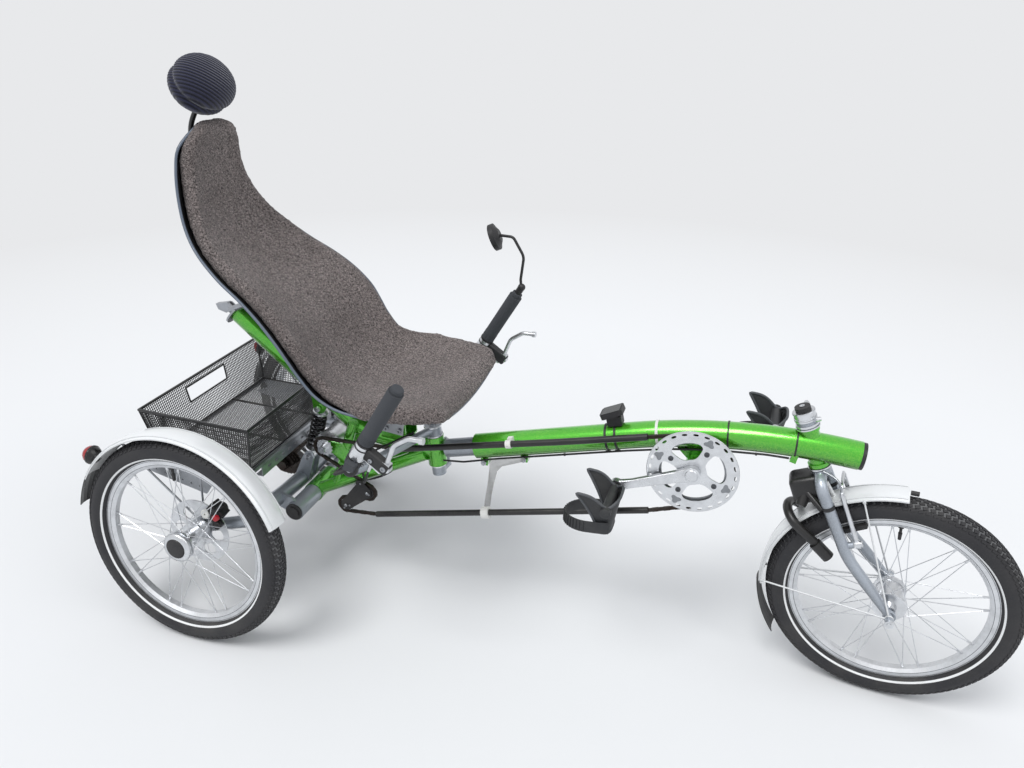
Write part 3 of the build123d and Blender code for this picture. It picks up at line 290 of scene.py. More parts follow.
def dusty(tree, principled, colour, roughness, amount, dust=paint(136, 132, 124)):
    made = use_group(tree, dust_group, Color=colour, Dust=dust, Amount=amount, Roughness=roughness)
    tree.links.new(made.outputs["Color"], principled.inputs["Base Color"])
    tree.links.new(made.outputs["Roughness"], principled.inputs["Roughness"])
    return made


def lacquer(name, colour, glint, metallic, roughness, dust_amount, flakes=0.25, coat=1.0):
    """Metallic paint under clear lacquer, with painted shade on faces that look down."""
    colour, glint = paint(*colour), paint(*glint)
    material, tree, principled = new_material(
        name, Metallic=metallic, Coat_Weight=coat, Coat_Roughness=0.06)
    # painted shade: the colour goes deeper on faces that look down
    tint = mixed(tree, remap(tree, facing_up(tree), -0.75, 0.45), darker(colour, 0.26), colour)
    flake = use_group(tree, flake_group, Color=tint, Glint=glint, Amount=flakes)
    dusty(tree, principled, flake.outputs["Color"], roughness, dust_amount)
    grain = use_group(tree, grain_group, Scale=300.0, Waves=0.6)
    bump(tree, principled, grain.outputs["Height"], 0.05, 0.0006)
    return material


def bare_metal(name, colour, roughness, dust_amount, grain_scale=500.0, tint=None):
    """Bare metal with fine grain, and a slow change of tint where one is given."""
    colour = paint(*colour)
    tint = paint(*tint) if tint else darker(colour, 0.82)
    material, tree, principled = new_material(name, Metallic=1.0)
    spread = remap(tree, noise_at(tree, object_place(tree), 35.0, 5.0, 0.7), 0.42, 0.7)
    dusty(tree, principled, mixed(tree, spread, colour, tint), roughness, dust_amount)
    grain = use_group(tree, grain_group, Scale=grain_scale, Waves=0.4)
    bump(tree, principled, grain.outputs["Height"], 0.12, 0.0005)
    return material


def plastic(name, colour, roughness, dust_amount, grain=0.15, grain_scale=600.0):
    """Moulded plastic or rubber with a fine grain."""
    material, tree, principled = new_material(name)
    dusty(tree, principled, paint(*colour), roughness, dust_amount)
    height = use_group(tree, grain_group, Scale=grain_scale, Waves=0.2)
    bump(tree, principled, height.outputs["Height"], grain, 0.0008)
    return material


def make_seat_mat_material():
    """Thick open mat of curled fibres: grey-brown with pale tips, and painted shade in its hollows."""
    material, tree, principled = new_material(
        "seat_mat", Roughness=0.95, Sheen_Weight=0.15, Specular_IOR_Level=0.15)
    place = object_place(tree)
    bend = noise_at(tree, place, 130.0, 3.0, output="Color")
    swirl = node(tree, "Mix", {0: 0.010, 4: place, 5: bend}, data_type="VECTOR").outputs[1]
    curls = node(tree, "TexVoronoi", {"Vector": swirl, "Scale": 165.0}, feature="F1")
    hollows = remap(tree, curls.outputs["Distance"], 0.24, 0.52)
    fibres = noise_at(tree, swirl, 420.0, 3.0, 0.75)
    tips = remap(tree, fibres, 0.40, 0.66)
    # painted shade: the hollows between the curls are coloured near black
    base = mixed(tree, hollows, paint(126, 115, 113), paint(16, 13, 14))
    colour = mixed(tree, maths(tree, "MULTIPLY", tips, 0.8), base, paint(190, 178, 174))
    patches = remap(tree, noise_at(tree, place, 9.0, 2.0), 0.35, 0.65, 0.0, 0.22)
    tree.links.new(mixed(tree, patches, colour, paint(62, 53, 51)), principled.inputs["Base Color"])
    height = maths(tree, "SUBTRACT", maths(tree, "MULTIPLY", fibres, 0.9), hollows)
    bump(tree, principled, height, 0.9, 0.003)
    return material


rib_lean = 36.0         # degrees, the headrest's ribs run down to the left
rib_pitch = 0.0068


def rib_way(place):
    """How far up across the ribs a place lies."""
    return place.y * sin(radians(rib_lean)) + place.z * cos(radians(rib_lean))


def make_headrest_material():
    """Dark blue knitted cover with fine threads; painted shade darkens the grooves between the ribs, so the ribs'
    backs are paler.
    """
    material, tree, principled = new_material(
        "rib_knit", Roughness=0.92, Sheen_Weight=0.3, Specular_IOR_Level=0.2)
    place = object_place(tree)
    parts = node(tree, "SeparateXYZ", {0: place})
    across = maths(tree, "ADD", maths(tree, "MULTIPLY", parts.outputs["Y"], sin(radians(rib_lean))),
                   maths(tree, "MULTIPLY", parts.outputs["Z"], cos(radians(rib_lean))))
    wave = maths(tree, "SINE", maths(tree, "MULTIPLY", across, tau / rib_pitch), 0.0)
    ribs = remap(tree, wave, -1.0, 1.0)
    threads = noise_at(tree, place, 1100.0, 2.0)
    # painted shade: the colour goes near black in the grooves between the ribs
    colour = mixed(tree, ribs, paint(9, 9, 17), paint(46, 47, 68))
    colour = mixed(tree, remap(tree, threads, 0.45, 0.75, 0.0, 0.2), colour, paint(86, 90, 112))
    tree.links.new(colour, principled.inputs["Base Color"])
    height = maths(tree, "ADD", ribs, maths(tree, "MULTIPLY", threads, 0.5))
    bump(tree, principled, height, 0.5, 0.0012)
    return material


def make_clear_material():
    """Cloudy see-through plastic."""
    material, tree, principled = new_material("clear_plastic", Roughness=0.22, Alpha=0.55)
    clouds = remap(tree, noise_at(tree, object_place(tree), 30.0, 3.0), 0.3, 0.7)
    tree.links.new(mixed(tree, clouds, paint(150, 149, 145), paint(184, 184, 181)),
                   principled.inputs["Base Color"])
    material.surface_render_method = "DITHERED"
    return material


green = lacquer("green_lacquer", (66, 182, 34), (176, 240, 90), 0.6, 0.22, 0.12, 0.3)
silver = lacquer("silver_lacquer", (168, 175, 184), (204, 210, 218), 0.55, 0.34, 0.25, 0.3, 0.4)
guard_white = lacquer(
    "guard_silver", (234, 236, 237), (246, 247, 248), 0.15, 0.3, 0.12, 0.12, 0.6)
# painted shade: the dark line beside each mudguard bead stands in for the shadow in its groove
guard_painted_shade = plastic("guard_painted_shade", (78, 84, 80), 0.5, 0.3)
rim_metal = bare_metal("rim_alloy", (222, 224, 227), 0.42, 0.2)
rim_line = bare_metal("rim_line", (118, 121, 126), 0.4, 0.3)
alloy = bare_metal("polished_alloy", (220, 222, 225), 0.27, 0.2)
steel = bare_metal("plated_steel", (168, 171, 176), 0.32, 0.3)
black_paint = lacquer("black_lacquer", (22, 23, 26), (50, 52, 56), 0.2, 0.36, 0.3, 0.15, 0.4)
black = plastic("black_plastic", (24, 24, 27), 0.48, 0.22)
pedal_black = plastic("pedal_plastic", (36, 38, 41), 0.55, 0.3, 0.3, 500.0)
glossy_black = plastic("glossy_black", (16, 16, 19), 0.18, 0.15, 0.04)
grip_foam = plastic("grip_foam", (60, 63, 68), 0.85, 0.2, 0.45, 900.0)
tyre_rubber = plastic("tyre_rubber", (31, 31, 35), 0.62, 0.16, 0.25, 350.0)
tread_dust = plastic("tread_dust", (94, 95, 97), 0.9, 0.4, 0.5, 300.0)
reflex_white = plastic("reflex_white", (232, 233, 233), 0.35, 0.2, 0.05)
shell_finish = plastic("seat_shell_black", (20, 21, 24), 0.3, 0.15, 0.06, 300.0)
shell_lip = plastic("seat_shell_lip", (92, 102, 116), 0.34, 0.15, 0.06)
tube_black = plastic("tube_black", (20, 20, 22), 0.34, 0.2, 0.05)
lamp_red = plastic("lamp_red", (150, 10, 18), 0.14, 0.15, 0.03)
knob_red = plastic("knob_red", (176, 30, 44), 0.3, 0.2)
white_plastic = plastic("white_plastic", (222, 222, 218), 0.4, 0.25)
bolt_grey = bare_metal("bolt_grey", (92, 94, 98), 0.45, 0.2)
recess_grey = bare_metal("recess_grey", (150, 153, 157), 0.5, 0.15)
pedal_edge = plastic("pedal_edge", (70, 73, 77), 0.5, 0.2, 0.2, 500.0)
lock_black = plastic("lock_black", (20, 20, 22), 0.34, 0.15, 0.06)
screen_grey = plastic("screen_grey", (46, 49, 49), 0.2, 0.1, 0.02)
mirror_glass = bare_metal("mirror_glass", (206, 210, 214), 0.04, 0.05)
chain_brown = bare_metal("oiled_chain", (62, 58, 56), 0.42, 0.3, 300.0, (50, 38, 32))
seat_mat = make_seat_mat_material()
rib_knit = make_headrest_material()
clear = make_clear_material()

finish_of_slot = {
    "frame_paint": green, "tyre": tyre_rubber, "rim_silver": rim_metal,
    "fender_silver": guard_white, "silver_paint": silver, "bare_alloy": alloy,
    "bright_steel": steel, "black_steel": black_paint,
    "black_plastic": black, "gloss_black": glossy_black, "grip_rubber": grip_foam,
    "seat_knit": seat_mat, "headrest_cloth": rib_knit, "shell_black": shell_finish,
    "lamp_red": lamp_red, "clear_plastic": clear, "chain_steel": chain_brown,
    "spring_black": glossy_black,
}
finish_of_node = {"chain_tubes": tube_black, "pedal_right": pedal_black, "pedal_left": pedal_black}

slot_of_node = {row["node"]: row["material_slot"] for row in frame["record"]["subparts"]}


def only_finish(data, finish):
    data.materials.clear()
    data.materials.append(finish)


for name, cad_node in nodes.items():
    only_finish(cad_node.data, finish_of_node.get(name) or finish_of_slot[slot_of_node[name]])


# Mesh tools: each adds a shape to a mesh; sizes are in metres
def rod(mesh, start, end, radius, sides=16, end_radius=None, capped=True):
    """A round bar, tapered where an end radius is given."""
    bmesh.ops.create_cone(
        mesh, cap_ends=capped, segments=sides, radius1=radius,
        radius2=radius if end_radius is None else end_radius,
        depth=(end - start).length, matrix=facing((start + end) / 2, end - start))


def block(mesh, place, size):
    """A box, centred on a place and in line with its axes."""
    scaled = place @ Matrix.Diagonal((*size, 1.0))
    return bmesh.ops.create_cube(mesh, size=1.0, matrix=scaled)["verts"]


def rounded_block(mesh, place, size, offset, segments):
    """A box with rounded edges."""
    corners = block(mesh, place, size)
    edges = list(dict.fromkeys(e for v in corners for e in v.link_edges))
    bmesh.ops.bevel(mesh, geom=edges, affect="EDGES", offset=offset, segments=segments,
                    profile=0.5, material=-1)


def painted(mesh, known, finish):
    """Gives a finish to the faces that a mesh has beside the known ones."""
    for face in set(mesh.faces) - known:
        face.material_index = finish


def spun(mesh, rows, place, steps=24, closed=False, arc=tau, start=0.0, finish_of=None):
    """A profile of (radius, out) rows in millimetres, turned about the place's local Z."""
    known = set(mesh.verts)
    points = [mesh.verts.new((radius * mm * cos(start), radius * mm * sin(start), out * mm))
              for radius, out in rows]
    pairs = list(zip(points, points[1:])) + ([(points[-1], points[0])] if closed else [])
    edges = [mesh.edges.new(pair) for pair in pairs]
    whole = arc == tau
    if not whole and closed:
        mesh.faces.new(points)
    made = bmesh.ops.spin(mesh, geom=points + edges, cent=(0, 0, 0), axis=(0, 0, 1),
                          angle=arc, steps=steps, use_merge=whole)
    if not whole and closed:
        last = {v for v in made["geom_last"] if isinstance(v, bmesh.types.BMVert)}
        bmesh.ops.holes_fill(mesh, edges=[e for e in mesh.edges
                                          if e.is_boundary and set(e.verts) <= last])
    fresh = [v for v in mesh.verts if v not in known]
    bmesh.ops.remove_doubles(mesh, verts=fresh, dist=1e-6)
    fresh = [v for v in mesh.verts if v not in known]
    if finish_of:
        for face in {f for v in fresh for f in v.link_faces}:
            middle = face.calc_center_median()
            face.material_index = finish_of(hypot(middle.x, middle.y) / mm, middle.z / mm)
    bmesh.ops.transform(mesh, matrix=place, verts=fresh)
    return fresh


def band(mesh, place, direction, inner, thick, width, steps=32):
    """A flat ring round a tube; sizes in millimetres."""
    spun(mesh, ((inner, -width / 2), (inner + thick, -width / 2), (inner + thick, width / 2),
                (inner, width / 2)), facing(place, direction), steps, closed=True)


def bolt(mesh, place, direction, radius, height):
    """A socket head screw; sizes in millimetres."""
    rows = ((0, 0.4 * height), (0.5 * radius, 0.4 * height), (0.5 * radius, height),
            (0.86 * radius, height), (radius, 0.86 * height), (radius, -0.1 * height),
            (0, -0.1 * height))
    spun(mesh, rows, facing(place, direction), 12)


def nut(mesh, place, direction, radius, height):
    """A hexagon nut with the bolt's end in it; sizes in millimetres."""
    way = Vector(direction).normalized()
    rod(mesh, place, place + way * height * mm, radius * mm, 6)
    rod(mesh, place, place + way * height * 1.4 * mm, radius * 0.5 * mm, 10)


def mesh_data(name, mesh):
    """The data of a finished mesh, which is then freed."""
    data = bpy.data.meshes.new(name)
    mesh.to_mesh(data)
    mesh.free()
    return data


def as_seen(holder):
    """A mesh of an object as its modifiers or its bevel leave it."""
    return bpy.data.meshes.new_from_object(
        holder.evaluated_get(bpy.context.evaluated_depsgraph_get()))


def linked(name, data, body, sharp=35.0):
    """A piece from its finished mesh, riding on a body."""
    data.shade_smooth()
    data.set_sharp_from_angle(angle=radians(sharp))
    made = put(name, data)
    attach(made, body)
    return made


def piece(name, mesh, body, slot, *finishes, sharp=35.0):
    """A piece from its bmesh, its faces turned outwards; in its slot's finish, or in others."""
    bmesh.ops.recalc_face_normals(mesh, faces=mesh.faces)
    data = mesh_data(name, mesh)
    for finish in finishes or (finish_of_slot[slot],):
        data.materials.append(finish)
    return linked(name, data, body, sharp)


def wire(name, routes, radius, body, finish, sides=8, closed=False):
    """Round wires along smooth curves, made a mesh; radius in millimetres."""
    curve = bpy.data.curves.new(name, "CURVE")
    curve.dimensions = "3D"
    curve.bevel_depth = radius * mm
    curve.bevel_resolution = sides // 4
    curve.use_fill_caps = True
    for route in routes:
        spline = curve.splines.new("NURBS")
        spline.points.add(len(route) - 1)
        for point, place in zip(spline.points, route):
            point.co = (*place, 1.0)
        spline.order_u = 3
        spline.use_endpoint_u = not closed
        spline.use_cyclic_u = closed
        spline.resolution_u = 8
    holder = put(name, curve)
    data = as_seen(holder)
    bpy.data.objects.remove(holder)
    only_finish(data, finish)
    for face in data.polygons:
        face.material_index = 0
    return linked(name, data, body, 60.0)


# Tyres: rounded carcass, pale ring near the rim, and five rows of tread blocks
# columns: radius, half width
carcass = (
    (208.7, 10.0), (208.7, 13.2), (210.6, 17.4), (213.0, 20.3), (213.4, 20.9), (217.2, 23.7),
    (217.8, 23.9), (222.0, 25.9), (227.0, 27.1), (232.0, 27.4), (237.0, 26.6), (241.5, 24.9),
    (245.5, 22.4), (249.0, 19.2), (252.0, 15.2), (254.3, 10.6), (255.5, 5.4), (255.9, 0.0),
)
# columns: distance from the middle, top radius, lean, width
tread_rows = (
    (0.0, 258.0, 0, 6.6), (8.6, 256.9, 14, 7.6), (17.6, 252.6, 37, 8.2), (24.3, 245.6, 58, 5.0),
)
tread_count, block_length, block_height = 108, 11.4, 3.6
block_skew, block_top = 0.22, 0.82      # turn of the outer rows, top's share of the foot


def tyre_finish(radius, out):
    """Ring, dusty crown between the blocks, or plain rubber."""
    if 213.4 < radius < 217.2 and abs(out) > 20:
        return 1
    return 2 if radius > 249.5 else 0


def make_tyre(side, wheel, body):
    mesh = bmesh.new()
    rows = carcass + tuple((radius, -half) for radius, half in reversed(carcass[:-1]))
    spun(mesh, rows, Matrix.Identity(4), 180, closed=True, finish_of=tyre_finish)
    for out, top, lean, wide in tread_rows:
        for way in ((1,) if out == 0 else (1, -1)):
            for index in range(tread_count):
                angle = tau * (index + (0.5 if lean in (14, 58) else 0)) / tread_count
                skew = 0.0 if out == 0 else way * block_skew
                place = (Matrix.Rotation(angle, 4, "Z")
                         @ Matrix.Translation((top * mm, 0, way * out * mm))
                         @ Matrix.Rotation(-way * radians(lean), 4, "Y")
                         @ Matrix.Rotation(skew, 4, "X")
                         @ Matrix.Translation((-block_height / 2 * mm, 0, 0)))
                corners = block(mesh, place, (block_height * mm, block_length * mm, wide * mm))
                outer = [v for v in corners if (place.inverted() @ v.co).x > 0]
                bmesh.ops.scale(mesh, verts=outer, vec=(1, block_top, block_top),
                                space=place.inverted())
    bmesh.ops.transform(mesh, matrix=wheel, verts=mesh.verts)
    made = piece(f"tyre_tread_{side}", mesh, body, "tyre", tyre_rubber, reflex_white, tread_dust)
    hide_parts(f"tyre_{side}")


# Spokes' nipples, wear lines on the brake flanks and the valve
spoke_step, spoke_cross, rim_inner = 20.0, 70.0, 189.0
hub_flanges = {"right": ((19, -30), 33), "left": ((19, -30), 33), "front": ((30, -30), 32)}


def make_rim_parts(side, wheel, body):
    outs, flange_radius = hub_flanges[side]
    mesh = bmesh.new()
    for which, out in enumerate(outs):
        for index in range(9):
            for lean in (-1, 1):
                foot = (index * 2 + which * 0.5) * spoke_step + (lean > 0) * spoke_step
                low = on_wheel(wheel, foot + lean * spoke_cross, rim_inner + 0.4, 0)
                way = (on_wheel(wheel, foot, flange_radius - 3, out) - low).normalized()
                rod(mesh, low, low + way * 0.012, 0.0021, 8, 0.0015)
                # bent head in the hub's flange
                past = 1 if out > 0 else -1
                head = on_wheel(wheel, foot, flange_radius - 3, out + 2.4 * past)
                rod(mesh, head, head + axle_way(wheel, -0.001 * past), 0.0022, 8)
    piece(f"spoke_nipples_{side}", mesh, body, "bare_alloy")
    mesh = bmesh.new()
    for way in (-1, 1):
        for radius in (197.4, 206.6):
            spun(mesh, ((radius - 0.6, way * 12.56), (radius + 0.6, way * 12.56)), wheel, 120)
    piece(f"rim_lines_{side}", mesh, body, "rim_silver", rim_line)
    mesh = bmesh.new()
    foot = on_wheel(wheel, 95, rim_inner + 0.4, 0)
    tip = on_wheel(wheel, 95, rim_inner - 34, 0)
    way = (tip - foot).normalized()
    rod(mesh, foot, foot + way * 0.022, 0.003, 12)
    rod(mesh, foot + way * 0.002, foot + way * 0.005, 0.0062, 6)
    rod(mesh, foot + way * 0.018, tip, 0.0042, 12, 0.0034)
    piece(f"valve_{side}", mesh, body, "black_plastic")


for side, wheel, body in wheels:
    make_tyre(side, wheel, body)
    make_rim_parts(side, wheel, body)


# Black dust caps in the rear hubs and a ring of bolts on the brake discs
disc_bolt_ring = 16.72


def make_hub_caps(side, wheel, body):
    mesh = bmesh.new()
    spun(mesh, ((0, 38.4), (18, 38.4), (22.4, 37.4), (23.4, 36.0), (23.4, 33.0)), wheel, 48)
    piece(f"hub_cap_{side}", mesh, body, "black_plastic")
    mesh = bmesh.new()
    spun(mesh, ((23.6, 33.0), (24.4, 35.8), (26.6, 35.8), (33.4, 33.0), (35.4, 30.6), (35.8, 26.0),
                (27.0, 22.0)), wheel, 48)
    for angle in range(30, 360, 60):
        seat = on_wheel(wheel, angle, disc_bolt_ring, -51.9)
        bolt(mesh, seat, axle_way(wheel, -1), 2.6, 1.8)
    piece(f"hub_ring_{side}", mesh, body, "bare_alloy")


for side, wheel, body in wheels[:2]:
    make_hub_caps(side, wheel, body)


# Mudguards: rolled strip with a painted groove shadow, a dark line, beside each edge
guard_half, guard_wall = 31.0, 1.6
# columns: from and to, out from the middle, height, which finish (1 is the painted groove shadow)
guard_beads = ((22.6, 25.6, 1.5, 0), (21.2, 22.8, 0.5, 1))


def guard_height(inner, crown, share):
    """The outer face's radius, by the share of the way from the middle to an edge."""
    return inner + guard_wall + crown * (1 - abs(share) ** 2.4)


def guard_rows(inner, crown):
    """Outer face and then inner face, from edge to edge: radius, out."""
    steps = 12
    shares = [-1 + 2 * index / steps for index in range(steps + 1)]
    outer = [(guard_height(inner, crown, share), guard_half * share) for share in shares]
    under = [(radius - guard_wall, out * 0.95) for radius, out in reversed(outer)]
    edges = [(inner - 1.2, guard_half * share) for share in (1.0, 0.93, -0.93, -1.0)]
    return outer + edges[:2] + under + edges[2:]


def make_guard(mesh, wheel, start_deg, arc_deg, inner=266.0, crown=8.0):
    spun(mesh, guard_rows(inner, crown), wheel, 56, closed=True,
         arc=radians(arc_deg), start=radians(start_deg))
    # raised bead near each edge, with a painted groove shadow as a dark line on its inner side
    for way in (-1, 1):
        for first, last, high, finish in guard_beads:
            height = guard_height(inner, crown, 23.5 / guard_half)
            rows = ((height - 0.8, way * first), (height + high * 0.7, way * first),
                    (height + high, way * (first * 0.6 + last * 0.4)),
                    (height + high * 0.7, way * last), (height - 0.8, way * last))
            known = set(mesh.faces)
            spun(mesh, rows, wheel, 56, closed=True, arc=radians(arc_deg - 1.2),
                 start=radians(start_deg + 0.6))
            painted(mesh, known, finish)


mesh = bmesh.new()
for wheel in (wheel_right, wheel_left):
    make_guard(mesh, wheel, 22, 130)
made = piece("rear_guards", mesh, "frame", "fender_silver", guard_white, guard_painted_shade)
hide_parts("rear_fenders")

eye_out = 72.0
mesh = bmesh.new()
make_guard(mesh, wheel_front, 94, 92, inner=265.0, crown=7.0)
rod(mesh, on_wheel(wheel_front, 125, 270, 0), on_wheel(wheel_front, 125, 309, 0), 0.005)
for side in (-1, 1):
    for angle in (112, 184):
        rod(mesh, on_wheel(wheel_front, angle, 6, side * eye_out),
            on_wheel(wheel_front, angle, 266, side * 30), 0.002, 10)
        seat = on_wheel(wheel_front, angle, 262, side * 30.6)
        bolt(mesh, seat, axle_way(wheel_front, side), 3.4, 3)
    spun(mesh, ((5.3, side * eye_out - 2.2), (9, side * eye_out - 2.2), (9, side * eye_out + 2.2),
                (5.3, side * eye_out + 2.2)), wheel_front, 24, closed=True)
made = piece("front_guard", mesh, "fork", "fender_silver", guard_white, guard_painted_shade)
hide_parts("front_fender")


# Seat shell: thin bowl, deepest in its middle line
# columns: edge x, edge z, half width, depth behind the edge, lean of the depth
seat_rows = (
    (-56, 1141, 34, 4, 5),
    (-74, 1096, 91, 14, 2),
    (-76, 1050, 110, 22, 0),
    (-66, 990, 128, 30, 13),
    (-41, 931, 150, 38, 28),
    (-1, 886, 172, 46, 41),
    (56, 842, 190, 52, 50),
    (113, 808, 203, 54, 50),
    (163, 771, 214, 56, 47),
    (205, 728, 221, 58, 40),
    (230, 691, 220, 60, 35),
    (253, 655, 217, 60, 38),
    (286, 618, 216, 60, 54),
    (333, 595, 216, 60, 72),
    (394, 588, 217, 52, 86),
    (450, 587, 212, 44, 92),
    (500, 588, 200, 34, 93),
    (548, 588, 180, 24, 94),
    (588, 587, 134, 10, 95),
)
shell_wall = 5.0
last_row = len(seat_rows) - 1
shell_ends, mat_ends = (0.15, 17.36), (0.08, 17.45)     # where each starts and stops, in rows


def seat_row(where):
    """The seat's row at a place between two rows, on a smooth curve through them."""
    index = min(int(where), last_row - 1)
    share = where - index
    rows = [seat_rows[max(0, min(last_row, index + step))] for step in (-1, 0, 1, 2)]
    weights = (
        -0.5 * share + share ** 2 - 0.5 * share ** 3,
        1 - 2.5 * share ** 2 + 1.5 * share ** 3,
        0.5 * share + 2 * share ** 2 - 1.5 * share ** 3,
        -0.5 * share ** 2 + 0.5 * share ** 3,
    )
    return [sum(weight * row[column] for weight, row in zip(weights, rows)) for column in range(5)]


def in_bowl(where, y, ahead=0.0):
    """A place over the shell's inner face: y across it, ahead towards the rider."""
    x, z, half, depth, lean = seat_row(where)
    round_radius = (half * half + depth * depth) / (2 * depth)
    reach = min(abs(y), half)
    behind = depth - round_radius + sqrt(round_radius ** 2 - reach ** 2) - ahead
    way = radians(lean)
    return at(x - behind * cos(way), y, z - behind * sin(way))


def along(ends, share):
    """The row at a share of the way from one end to the other."""
    return ends[0] + (ends[1] - ends[0]) * share


def make_shell():
    rows, columns = 72, 32
    mesh = bmesh.new()
    bmesh.ops.create_grid(mesh, x_segments=rows, y_segments=columns, size=1.0)
    for vert in mesh.verts:
        where, across = along(shell_ends, (vert.co.x + 1) / 2), vert.co.y
        vert.co = in_bowl(where, seat_row(where)[2] * across)
    middle = next(iter(mesh.faces))
    middle.normal_update()
    if middle.normal.x < 0:
        bmesh.ops.reverse_faces(mesh, faces=mesh.faces)
    data = mesh_data("seat_bowl", mesh)
    data.materials.append(shell_finish)
    made = linked("seat_bowl", data, "frame", 50.0)
    wall = made.modifiers.new("wall", "SOLIDIFY")
    wall.thickness = shell_wall * mm
    wall.offset = -1.0
    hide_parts("seat_shell")


def make_shell_lip():
    """Rounded bead along the shell's edge."""
    def edge(where, share):
        return in_bowl(where, seat_row(where)[2] * share, -shell_wall / 2)

    steps = 60
    places = [along(shell_ends, index / steps) for index in range(steps + 1)]
    first, last = shell_ends
    route = ([edge(where, -1) for where in places]
             + [edge(last, share) for share in (-0.6, -0.2, 0.2, 0.6)]
             + [edge(where, 1) for where in reversed(places)]
             + [edge(first, share) for share in (0.6, 0.0, -0.6)])
    wire("seat_lip", [route], 3.1, "frame", shell_lip, 12, closed=True)


make_shell()
make_shell_lip()


# Padding: a closed form, made even and swelled under its cover
def swelled(name, mesh, voxel, pressure, most):
    """Remeshes a closed form and lets it swell by a few millimetres."""
    bmesh.ops.recalc_face_normals(mesh, faces=mesh.faces)
    holder = put(name, mesh_data(name, mesh))
    even = holder.modifiers.new("even", "REMESH")
    even.mode = "VOXEL"
    even.voxel_size = voxel * mm
    holder.data = as_seen(holder)
    holder.modifiers.clear()
    cloth = holder.modifiers.new("cover", "CLOTH")
    cloth.settings.use_pressure = True
    cloth.settings.uniform_pressure_force = pressure
    cloth.settings.effector_weights.gravity = 0
    for frame_number in range(1, 21):
        scene.frame_set(frame_number)
    swollen = holder.evaluated_get(bpy.context.evaluated_depsgraph_get()).to_mesh()
    moved = [v.co.copy() for v in swollen.vertices]
    holder.modifiers.clear()
    scene.frame_set(1)
    for vert, place in zip(holder.data.vertices, moved):
        step = place - vert.co
        vert.co += step * min(1.0, most * mm / max(step.length, 1e-9))
    finished = holder.data
    bpy.data.objects.remove(holder)
    return finished


def refined(data, smoothing, levels):
    """Smooths a mesh and divides its faces."""
    mesh = bmesh.new()
    mesh.from_mesh(data)
    for pass_number in range(smoothing):
        bmesh.ops.smooth_vert(mesh, verts=mesh.verts, factor=0.5,
                              use_axis_x=True, use_axis_y=True, use_axis_z=True)
    mesh.to_mesh(data)
    mesh.free()
    holder = put("holder", data)
    divide = holder.modifiers.new("divide", "SUBSURF")
    divide.levels = divide.render_levels = levels
    fine = as_seen(holder)
    bpy.data.objects.remove(holder)
    return fine


def surfaced(data, finish, shift_of):
    """Moves a mesh's points by what a function gives for their place and normal."""
    data.update()
    normals = [v.normal.copy() for v in data.vertices]
    for vert, normal in zip(data.vertices, normals):
        vert.co += shift_of(vert.co, normal)
    only_finish(data, finish)
    return data


# Seat mat: open-cell pad that lies in the shell and hangs over its front edge
mat_thick, mat_gap = 34.0, 2.0
mat_edge = 12.0         # how far the top edges are rounded in
mat_hang = 11.0         # how far the lower side falls past the shell's edge


def mat_half(where):
    """Half the mat's width: over the shell's edge in front and at the top, set in between."""
    half = seat_row(where)[2]
    if where < 1.0:     # rounded corners at the top
        return 89 - 58 * (1 - where) ** 1.4
    if where < 4.0:
        return half - 2 - 14 * min(1.0, (where - 1.0) / 1.5)
    if where < 12.0:
        return half - 16
    return half - 16 + 25 * min(1.0, (where - 12.0) / 2.0)


def mat_drop(where, y):
    """How far the mat's lower side falls past the shell's edge where it hangs over."""
    past = abs(y) - seat_row(where)[2]
    return mat_hang * min(1.0, max(0.0, past + 1.0) / 4.0)


def mat_past(where):
    """How far the mat's ends reach past the shell's, at the top and in front."""
    return (4.0 * max(0.0, 1 - (where - mat_ends[0]) / 0.5),
            3.0 * max(0.0, 1 - (mat_ends[1] - where) / 0.5))


def make_mat():
    rows, columns = 60, 28
    mesh = bmesh.new()
    bmesh.ops.create_grid(mesh, x_segments=rows, y_segments=columns, size=1.0)
    under = {}
    for vert in mesh.verts:
        where, across = along(mat_ends, (vert.co.x + 1) / 2), vert.co.y
        half = mat_half(where)
        y = half * across
        fall = max(0.0, abs(y) - (half - mat_edge)) / mat_edge
        over = mat_thick - 14 * fall ** 2
        ends = min(1.0, min(where - mat_ends[0], mat_ends[1] - where) / 0.45)
        top_past, front_past = mat_past(where)
        shift = Vector((front_past, 0, top_past)) * mm
        drop = max(mat_drop(where, y), mat_hang * min(1.0, (top_past + front_past) / 3.0))
        under[vert] = in_bowl(where, y, mat_gap - drop) + shift
        rise = (over - 8) * sqrt(max(0.0, 1 - (1 - ends) ** 2))
        vert.co = in_bowl(where, y, mat_gap + 8 + rise) + shift
    top_faces = mesh.faces[:]
    lower = bmesh.ops.duplicate(mesh, geom=mesh.verts[:] + mesh.edges[:] + top_faces)
    for vert, twin in lower["vert_map"].items():
        if vert in under:
            twin.co = under[vert]
    doubled = [f for f in lower["geom"] if isinstance(f, bmesh.types.BMFace)]
    bmesh.ops.reverse_faces(mesh, faces=doubled)
    rims = [e for e in mesh.edges if e.is_boundary]
    bmesh.ops.bridge_loops(mesh, edges=rims)
    def open_surface(place, normal):
        return normal * (0.0011 * noise.noise(place * 95.0) + 0.0010 * noise.noise(place * 260.0))

    form = swelled("mat_form", mesh, voxel=6.8, pressure=3.0, most=3.0)
    data = surfaced(refined(form, smoothing=3, levels=1), seat_mat, open_surface)
    made = linked("seat_mat_pad", data, "frame", 180.0)
    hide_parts("seat_cushion")


# Headrest: round pad in two lobes with a seam between them, knitted ribs over it
head_lean = 36.0        # degrees, the headrest's face tips up with the seat's back


